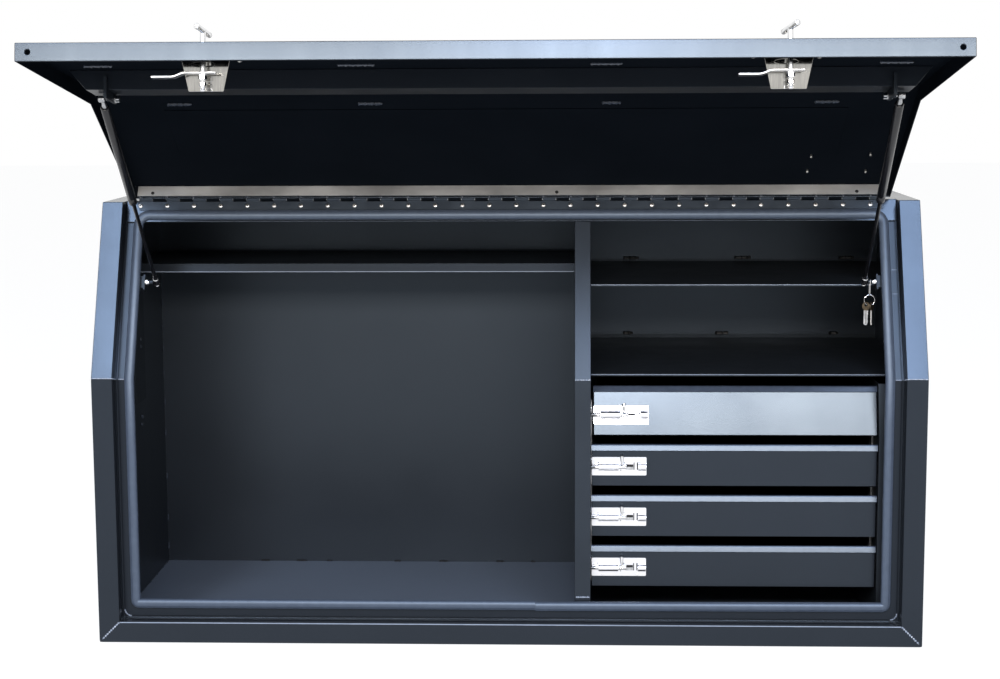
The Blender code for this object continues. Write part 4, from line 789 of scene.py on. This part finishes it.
def make_lock(side):
    place = LID @ Matrix.Translation((LOCK_X[side], 0, LOCK_Z))
    fold(f"{side}_lock_dish", BRUSHED_STAINLESS, 0.5 * MM)

    handle = bmesh.new()
    stem = [(0, 0), (0, 7.2), (1.2, 7.2), (1.6, 5.0), (8, 4.6), (20, 4.4), (23, 5.2), (24, 5.2)]
    lathe(handle, (0, -2.1 * MM, 0), (0, -26 * MM, 0), in_mm(stem))
    turn = HANDLE_TURN[side]
    half = Vector((math.sin(turn), 0, math.cos(turn))) * 41 * MM
    middle = Vector((0, -25.2 * MM, 0))
    bar = [(0, 0), (0.2, 2.4), (1.2, 3.9), (3.0, 4.5), (24, 4.3), (41, 4.5)]
    bar += [(82 - a, r) for a, r in reversed(bar[:-1])]
    lathe(handle, middle - half, middle + half, in_mm(bar))
    spindle = [(0, 4.0), (57, 4.0)] + THREAD + [(SHAFT_END, 3.2), (SHAFT_END, 0)]
    lathe(handle, (0, 0, 0), (0, SHAFT_END * MM, 0), in_mm(spindle))
    rod(handle, (0, 40.0 * MM, 0), (0, 41.2 * MM, 0), 6.6 * MM)
    nut(handle, (0, 41.3 * MM, 0), (0, 48.2 * MM, 0), 6.4 * MM)
    nut(handle, (0, 52.2 * MM, 0), (0, 57.8 * MM, 0), 5.4 * MM)
    place_piece(f"{side}_lock_t_handle", handle, CHROME, f"{side}_lock", [f"{side}_lock_handle"], place)

    lever = bmesh.new()
    bends = [(20, 38.4), (8, 38.4), (-26, 38.4), (-30, 38.9), (-42, 43.9), (-46, 44.4), (-76, 44.4)]
    path = [Vector((x * MM, y * MM, 0)) for x, y in bends]
    section = rounded(-8 * MM, -1.4 * MM, 8 * MM, 1.4 * MM, 0.6 * MM, 2)
    sweep(lever, path, section, [(0, 1, 0)] * len(path))
    place_piece(f"{side}_lock_lever", lever, LEVER_ZINC, f"{side}_lock", [f"{side}_lock_cam"], place)

    ring, wall = bmesh.new(), 0.1120 - 0.0004 - LOCK_Z
    steps = [2 * math.pi * step / 28 for step in range(28)]
    oval = [(-4 + 18 * math.cos(a), 21.5 + 4.2 * math.sin(a)) for a in steps]
    oval = [Vector((x * MM, y * MM, wall)) for x, y in oval]
    sweep(ring, oval, circle(0.9 * MM, 6), [(0, 0, -1)] * 28, closed=True)
    # The left crimp is drawn near black, as painted shade; the right one is bare stainless.
    finish = DARK_WELD_AND_SHADE if side == "left" else BRUSHED_STAINLESS
    place_piece(f"{side}_dish_crimp", ring, finish, "lid", frame_matrix=place)


LEVER_ZINC = metal("zinc_plated_lever", "zinc_steel", "#b2b5ba", "#dbdbd8", (0.3, 0.45), 8 * MM)
for side in ("left", "right"):
    make_lock(side)
print("lock shafts end", SHAFT_END, "mm behind the lid's skin")

# %% [markdown]
# ## Gas struts
#
# A gas spring is a painted tube of compressed nitrogen with a hardened, nitrided rod. Each end is a
# socket snapped on a ball stud. Here the upper sockets are bright zinc and the lower ones are black
# plastic with steel rings. Everything is turned about the line between the two studs.

# %% Gas struts
STRUT_TOP = Vector((0.640, -0.592186, 0.992351))
STRUT_FOOT = Vector((0.6494, -0.190, 0.653))


def make_strut(side, sign):
    top, foot = (Vector((sign * end.x, end.y, end.z)) for end in (STRUT_TOP, STRUT_FOOT))
    along = (foot - top).normalized()
    across = (Vector((1, 0, 0)) - along * along.x).normalized()
    inner = -sign * across

    def turned(bm, profile):
        lathe(bm, top, foot, in_mm(profile))

    tube = bmesh.new()
    body = [(19, 0), (19, 4.8), (20.4, 6.9), (22, 7.5), (262, 7.5), (263, 7.1), (265, 7.1), (266, 7.5)]
    mouth = [(278, 7.5), (281, 6.8), (283, 5.2), (283, 3.6), (276, 3.6)]
    turned(tube, body + mouth)
    place_piece(f"{side}_strut_cylinder", tube, STRUT_PAINT, f"{side}_tube", [f"{side}_strut_tube"])

    socket = bmesh.new()
    turned(socket, [(4.0, 3.0), (8.0, 3.1), (13, 3.6), (17.5, 4.4), (19.5, 4.4), (19.5, 0)])
    head = [(0, 0), (0, 4.4), (0.8, 5.4), (9.5, 5.6), (10.6, 4.8), (10.6, 0)]
    lathe(socket, top - inner * 6.4 * MM, top + inner * 6 * MM, in_mm(head))
    place_piece(f"{side}_strut_top_socket", socket, ZINC_AND_TROUGH_SHADE, f"{side}_tube")

    piston = bmesh.new()
    turned(piston, [(262, 0), (262, 3.4), (512, 3.4), (512, 0)])
    place_piece(f"{side}_strut_piston_rod", piston, NITRIDED_ROD, f"{side}_rod", [f"{side}_strut_rod"])

    end = (foot - top).length * 1000

    def turned_at_end(bm, profile):
        turned(bm, [(end + a, r) for a, r in profile])

    cup = bmesh.new()
    cup_side = [(-17, 0), (-17, 4.0), (-9, 4.6), (-5, 5.8), (0, 6.4), (4.5, 5.8), (6.5, 4.2), (6.9, 0)]
    turned_at_end(cup, cup_side)
    place_piece(f"{side}_strut_foot_socket", cup, STRUT_PAINT, f"{side}_rod")
    rings = bmesh.new()
    turned_at_end(rings, [(-12.2, 0), (-12.2, 4.9), (-11.6, 5.6), (-9.6, 5.6), (-9, 4.9), (-9, 0)])
    turned_at_end(rings, [(3.4, 0), (3.4, 6.1), (4.6, 6.5), (6.4, 5.0), (7.1, 2.4), (7.2, 0)])
    place_piece(f"{side}_strut_foot_rings", rings, CHROME, f"{side}_rod")


LUG_X = 0.6244
STUD_X = 0.6563


def make_strut_studs(side, sign):
    """Ball studs, with the lugs that carry them."""
    # The lug is drawn in the dark inside coat, as painted shade.
    finish_node(INSIDE_COAT_AND_LUG_SHADE, f"{side}_strut_lug")
    upper = bmesh.new()
    lug = Vector((sign * LUG_X, STRUT_TOP.y, STRUT_TOP.z))
    out = Vector((sign, 0, 0))
    profile = [(0, 0), (0, 5.4), (2.4, 5.4), (3.0, 3.6), (6.0, 2.6), (9.6, 2.3), (9.6, 0)]
    lathe(upper, lug, lug + out, in_mm(profile), 12)
    start = Vector((sign * (LUG_X - 5 * MM), lug.y, lug.z))
    rod(upper, start, start - out * 1.0 * MM, 6.5 * MM)
    nut(upper, start - out * 1.0 * MM, start - out * 7.6 * MM, 6.3 * MM)
    place_piece(f"{side}_strut_top_stud", upper, ZINC_AND_TROUGH_SHADE, "lid")

    lower = bmesh.new()
    near = Vector((sign * STUD_X, STRUT_FOOT.y, STRUT_FOOT.z))
    profile = [(0, 2.3), (2.0, 2.5), (6.5, 3.8), (9.0, 4.4), (9.2, 6.2), (12.2, 6.2), (12.4, 4.4)]
    profile += [(14.4, 4.2), (14.4, 0)]
    lathe(lower, near, near + out, in_mm(profile), 12)
    place_piece(f"{side}_strut_foot_stud", lower, CHROME, "box")
    finish_node(INSIDE_COAT_AND_LUG_SHADE, f"{side}_strut_foot")


for side, sign in (("left", -1), ("right", 1)):
    make_strut(side, sign)
    make_strut_studs(side, sign)
print("struts reach", round((STRUT_FOOT - STRUT_TOP).length, 3), "m")

# %% [markdown]
# ## The keys
#
# A wire link hangs on the lower stud at the right, with a split ring and two keys: one is seen almost
# flat, the other nearly on edge. A key is a flat blank with a milled groove and cut teeth, so its outline
# is drawn once and lifted to a thickness.

# %% Keys
KEYS = Vector((0.6591, -0.190, 0.653))
TEETH = [(-4.2, -12), (-3.2, -14), (-4.2, -17), (-3.0, -20), (-3.8, -23), (-2.8, -26), (-4.2, -30)]
TEETH += [(-3.2, -33)]


def make_link():
    link = bmesh.new()
    half = 5.25 * MM
    top = arc(0, -half, half, 0, 180, 8)
    bottom = arc(0, half - 32 * MM, half, 180, 360, 8)
    path = [KEYS + Vector((0, x, z + 5.4 * MM)) for x, z in top + bottom]
    sweep(link, path, circle(0.8 * MM, 8), [(1, 0, 0)] * len(path), closed=True)
    place_piece("key_wire_link", link, CHROME, "keys", ["key_link"])

    ring = bmesh.new()
    steps = [2 * math.pi * step / 40 for step in range(81)]
    middle = KEYS + Vector((0, 0, -33.9 * MM))
    radius, rise = 9.5 * MM, 0.25 * MM
    turns = [(radius * math.cos(a), (a / math.pi - 2) * rise, radius * math.sin(a)) for a in steps]
    path = [middle + Vector(turn) for turn in turns]
    sweep(ring, path, circle(0.55 * MM, 8), [p - middle for p in path])
    place_piece("key_split_ring", ring, CHROME, "keys", ["key_ring"])


def make_key(index, x, turn, finish, half_width):
    """A key hung by its bow; the blade's groove is a dark strip let into each face, as painted shade."""
    hang = Matrix.Translation((x, -0.190, 0.6109)) @ Matrix.Rotation(math.radians(turn), 4, "Z")
    bow = bmesh.new()
    outline = arc(0, -2.5 * MM, 7.5 * MM, -60, 240, 18) + in_mm([(-3.6, -10.5), (3.6, -10.5)])
    plate(bow, outline, 2.6 * MM, hang, [arc(0, 0, 3.2 * MM, 360, 20, 14)])
    place_piece(f"key_{index}_bow", bow, DARK_BRASS_AND_GROOVE_SHADE, "keys", [f"key_{index}"])
    blade = bmesh.new()
    share = half_width / 4.2
    teeth = [(a * share * MM, b * MM) for a, b in TEETH]
    nose = 1.5 * share
    tip = in_mm([(-nose, -37.3), (nose, -37.3), (half_width, -35.5), (half_width, -10)])
    plate(blade, in_mm([(-half_width, -10)]) + teeth + tip, 2.0 * MM, hang)
    place_piece(f"key_{index}_blade", blade, finish, "keys")
    groove = bmesh.new()
    strip = rounded(-0.6 * MM, -35 * MM, 0.5 * MM, -11 * MM, 0.3 * MM, 2)
    plate(groove, strip, 2.1 * MM, hang)
    place_piece(f"key_{index}_groove", groove, DARK_BRASS_AND_GROOVE_SHADE, "keys")


# Dark brass for the bows, and for the grooves' painted shade.
DARK_BRASS_AND_GROOVE_SHADE = metal("tarnished_brass", "brass", "#3a332a", "#5d5344", (0.4, 0.6), 4 * MM)
make_link()
make_key(1, 0.6538, 152, ZINC_AND_TROUGH_SHADE, 4.2)
make_key(2, 0.6644, 60, RIVET_ALUMINIUM, 3.2)
print("keys hang from", [round(v, 4) for v in KEYS])

# %% [markdown]
# ## Small fixings
#
# Coated blind rivets hold the lid's leaf of the hinge to its rim, screws hold the bare strip, four rivet
# tails come through behind the badge, and a few bright rivets sit beside the lock dishes. The screws are
# drawn black, as painted shade of their holes. They are small, but on a plain black box they are most of
# what the eye finds.

# %% Small fixings
leaf_places = [(x, 0.0258, 0.0078) for x in ROW]
rivet_row("lid_leaf_rivets", LID_SLOPE, leaf_places, (0, 0, -1), "lid", 0.6, finish=WELD)
strip_places = [(x, 0.018, 0.0060) for x in (-0.662, 0.089, 0.639)]
rivet_row("strip_screws", LID_SLOPE, strip_places, (0, 0, -1), "lid", 0.8, finish=SHADE_BLACK)
lock_rivets = [(0.3936, 0.0025, 0.1934), (0.4942, 0.0025, 0.1966), (-0.3956, 0.0025, 0.2053)]
rivet_row("lock_rivets", LID, lock_rivets, (0, 1, 0), "lid", 0.9)

tails = bmesh.new()
for x, up in ((0.5443, -0.1035), (0.5433, -0.0482), (0.6483, -0.110), (0.6481, -0.0475)):
    start = Vector((x, 2.5 * MM, up))
    tail = [(0, 2.2), (4.5, 2.5), (6, 1.6), (6.4, 0)]
    lathe(tails, start, start + Vector((0, 1, 0)), in_mm(tail), 12)
place_piece("badge_rivet_tails", tails, RIVET_ALUMINIUM, "lid", frame_matrix=LID_SLOPE)
rivet_row("frame_screw", BOX_SLOPE, [(0.685, 0.0300, -0.0353)], (0, -1, 0), "box", 0.55)

# %% [markdown]
# ## Weld beads
#
# Sheet boxes are stitched with short TIG welds and coated afterwards. A bead is a row of overlapping
# puddles, so it is a thin round swept along the seam whose thickness swells every 3 mm. Seams that show
# in front are run right across: at the fold of the frame, at its mitred corners and at the divider.

# %% Weld beads
def bead(bm, points, outward, radius=1.3 * MM, ripple=3.2 * MM, depth=0.3):
    """A bead through points on the surface; outward is the side that it stands proud on."""
    path, swell = [], []
    distance = 0
    for start, end in zip(points, points[1:]):
        start, end = Vector(start), Vector(end)
        length = (end - start).length
        steps = max(1, round(length / (ripple / 3)))
        for step in range(steps + (end == Vector(points[-1]))):
            along = distance + length * step / steps
            path.append(start.lerp(end, step / steps))
            swell.append(0.85 + depth * math.sin(2 * math.pi * along / ripple) + 0.15 * math.sin(along * 610))
        distance += length
    swell[0] = swell[-1] = 0.35
    sweep(bm, path, circle(radius, 6), [outward] * len(path), swell=swell)


front_beads = bmesh.new()
for sign in (-1, 1):
    face = [(sign * x, FRONT, KINK) for x in (0.7495, 0.712)]
    wall = [(sign * 0.712, FRONT + d, kink_height(d)) for d in (0, 0.029)]
    inner = [(sign * x, FRONT + 0.030, kink_height(0.030)) for x in (0.7075, 0.6945)]
    bead(front_beads, face, KINK_OUT, 1.0 * MM)
    bead(front_beads, wall, (-sign, 0, 0), 1.0 * MM)
    bead(front_beads, inner, KINK_OUT, 1.1 * MM)
    mitre = [(sign * 0.7125, FRONT, 0.0375), (sign * 0.744, FRONT, 0.006)]
    bead(front_beads, mitre, (0, -1, 0), 1.5 * MM, 5 * MM, 0.7)
    corner = [(sign * (0.696 + x), FRONT + 0.0302, z) for x, z in arc(0, 0.054, 12 * MM, 270, 360, 5)]
    bead(front_beads, corner, (0, -1, 0), 1.3 * MM, 4 * MM, 0.5)
DIVIDER_DEPTH = 0.036
divider_front = FRONT + DIVIDER_DEPTH
divider_fold = [(x, divider_front, kink_height(DIVIDER_DEPTH)) for x in (0.1225, 0.1512)]
bead(front_beads, divider_fold, KINK_OUT, 1.3 * MM, 5 * MM, 0.45)
divider_foot = [(x, divider_front, 0.0800) for x in (0.1245, 0.1495)]
bead(front_beads, divider_foot, (0, -1, 0), 1.6 * MM, 4 * MM, 0.5)
for up in (-0.1234, -0.1690):
    joint = [slope_place(x, up, 0.0299)[0] for x in (0.6970, 0.7075)]
    bead(front_beads, joint, slope_place(0, 0)[1], 0.5 * MM)
# The front beads are drawn pale, as painted highlight.
place_piece("front_weld_beads", front_beads, WELD_HIGHLIGHT_FINISH, "box")

back_beads = bmesh.new()
SHELF_SEAMS = [(0.223, 0.256, 0.650), (0.453, 0.488, 0.6505), (0.668, 0.701, 0.650)]
SHELF_SEAMS += [(0.223, 0.244, 0.4925), (0.415, 0.443, 0.4925), (0.651, 0.671, 0.4925)]
for x_low, x_high, z in SHELF_SEAMS:
    ends = [(x, 0.296, z + 2.2 * MM) for x in (x_low, x_high)]
    bead(back_beads, ends, (0, -1, 0), 4.2 * MM, 6 * MM, 0.12)
FLOOR_SEAM = [(-0.548, 18), (-0.471, 22), (-0.407, 12), (-0.262, 14), (-0.166, 20), (-0.044, 16), (0.03, 10)]
for x, length in FLOOR_SEAM:
    bead(back_beads, [(x, 0.2965, 0.0035), (x + length * MM, 0.2965, 0.0035)], (0, -1, 0), 2.4 * MM, 5 * MM)
place_piece("shelf_weld_beads", back_beads, DARK_WELD_AND_SHADE, "box")

side_beads = bmesh.new()
for z in (0.554, 0.503, 0.456, 0.404, 0.340, 0.274, 0.180, 0.090, 0.028):
    bead(side_beads, [(-0.7462, 0.2962, z), (-0.7462, 0.2962, z + 14 * MM)], (1, -1, 0), 2.0 * MM, 5 * MM)
for y, z in ((0.0833, 0.5104), (0.0832, 0.4962), (0.0803, 0.3543), (0.0747, 0.339)):
    bead(side_beads, [(-0.7457, y, z - 4 * MM), (-0.7457, y, z + 3 * MM)], (1, 0, 0), 2.6 * MM, 5 * MM)
for y in (0.05, 0.11, 0.17, 0.23, 0.27):
    bead(side_beads, [(-0.7465, y, 0.0035), (-0.7465, y + 12 * MM, 0.0035)], (1, 0, 1), 1.8 * MM, 5 * MM)
for x in (-0.735, -0.708, -0.600):
    bead(side_beads, [(x, 0.2962, 0.0040), (x + 7 * MM, 0.2962, 0.0040)], (0, -1, 1), 1.8 * MM, 5 * MM)
place_piece("corner_weld_beads", side_beads, WELD, "box")

# %% Welds under the lid
lid_beads = bmesh.new()
for x_low, x_high in ((-0.579, -0.536), (-0.250, -0.207), (0.168, 0.201), (0.529, 0.571)):
    ends = [LID_SLOPE @ Vector((x, 0.0036, -0.2885)) for x in (x_low, x_high)]
    bead(lid_beads, ends, LID_SLOPE.to_3x3() @ Vector((0, 1, 0)), 3.4 * MM, 6 * MM, 0.15)
for x_low, x_high in ((-0.648, -0.602), (-0.248, -0.190), (0.146, 0.196), (0.592, 0.644)):
    ends = [LID @ Vector((x, 0.0034, 0.236)) for x in (x_low, x_high)]
    bead(lid_beads, ends, LID.to_3x3() @ Vector((0, 1, -1)), 3.0 * MM, 6 * MM, 0.15)
place_piece("lid_weld_beads", lid_beads, WELD, "lid")
print("lid beads ready")

# %% [markdown]
# ## Floor, sky and lamps
#
# The photo was taken outdoors. What the black coat shows is mostly a mirror image: upright sheet mirrors
# dark ground, the slope mirrors blue sky, and what leans between them mirrors the bright band above the
# horizon. Four flat lamps stand in for that sky: a wide warm white one low down, and three narrow blue
# ones above it, since the sky's blue shows in bands. The background is white only for the camera and
# for mirror rays, so it adds no light of its own.

# %% Floor and sky
bpy.context.scene.view_settings.view_transform = "Standard"


def white_to_camera(tree, shadow):
    """Is Camera Ray or a mirror ray, and not shadow: how far a surface shows plain white."""
    ray = add_node(tree, "ShaderNodeLightPath")
    seen = ray.outputs["Is Camera Ray"]
    for kind in ("Is Glossy Ray", "Is Transmission Ray"):
        larger = {"operation": "MAXIMUM"}
        seen = add_node(tree, "ShaderNodeMath", larger, {0: seen, 1: ray.outputs[kind]}).outputs[0]
    share = {"operation": "MULTIPLY", 1: 1 - shadow}
    return add_node(tree, "ShaderNodeMath", share, {0: seen}).outputs[0]


world = bpy.data.worlds.new("sky")
bpy.context.scene.world = world
world.use_nodes = True
sky = world.node_tree
sky.nodes.clear()
plain = add_node(sky, "ShaderNodeBackground", {"Color": linear("#dfe6f2"), "Strength": 0.36})
white = add_node(sky, "ShaderNodeBackground", {"Color": (1, 1, 1, 1), "Strength": 1.0})
how_far = white_to_camera(sky, 0)
mix = add_node(sky, "ShaderNodeMixShader", (), {0: how_far, 1: plain.outputs[0], 2: white.outputs[0]})
add_node(sky, "ShaderNodeOutputWorld", (), {0: mix.outputs[0]})

bpy.ops.mesh.primitive_plane_add(size=40)
floor = bpy.context.object
floor.name = "studio_floor"
floor.location.z = -0.001
ground = bpy.data.materials.new("pale_floor")
ground.use_nodes = True
tree = ground.node_tree
matt = tree.nodes["Principled BSDF"]
matt.inputs["Base Color"].default_value = linear("#f6f6f5")
matt.inputs["Roughness"].default_value = 0.9
glow = add_node(tree, "ShaderNodeEmission", {"Color": (1, 1, 1, 1), "Strength": 1.12})
how_far = white_to_camera(tree, 0.18)
mix = add_node(tree, "ShaderNodeMixShader", (), {0: how_far, 1: matt.outputs[0], 2: glow.outputs[0]})
tree.links.new(mix.outputs[0], tree.nodes["Material Output"].inputs["Surface"])
floor.data.materials.append(ground)
print("floor and sky ready")


# %% Lamps
LAMP_DISTANCE = 5.0


def sky_lamp(name, low, high, x, width, power, colour):
    """A flat lamp in front of the box, between two elevations seen from its middle."""
    middle = math.radians((low + high) / 2)
    height = 2 * LAMP_DISTANCE * math.tan(math.radians(high - low) / 2)
    data = bpy.data.lights.new(name, "AREA")
    data.shape, data.size, data.size_y = "RECTANGLE", width, height
    data.energy, data.color = power * width * height * math.pi, linear(colour)[:3]
    lamp = bpy.data.objects.new(name, data)
    bpy.context.scene.collection.objects.link(lamp)
    away = Vector((0, -math.cos(middle), math.sin(middle)))
    lamp.matrix_world = away.to_track_quat("Z", "Y").to_matrix().to_4x4()
    lamp.location = away * LAMP_DISTANCE + Vector((x, 0, 0.5))
    lamp.visible_camera = False


sky_lamp("low_bright_sky", 15, 23.5, -0.02, 4.0, 27.0, "#fcf5ef")
sky_lamp("left_blue_sky", 27, 48, -1.7, 1.1, 25.0, "#b8c6de")
sky_lamp("right_blue_sky", 27, 48, 1.4, 1.1, 25.0, "#b2c2de")
sky_lamp("middle_blue_sky", 20, 36, 0.15, 0.8, 24.0, "#c4cfe8")
print("lamps:", len(bpy.data.lights))
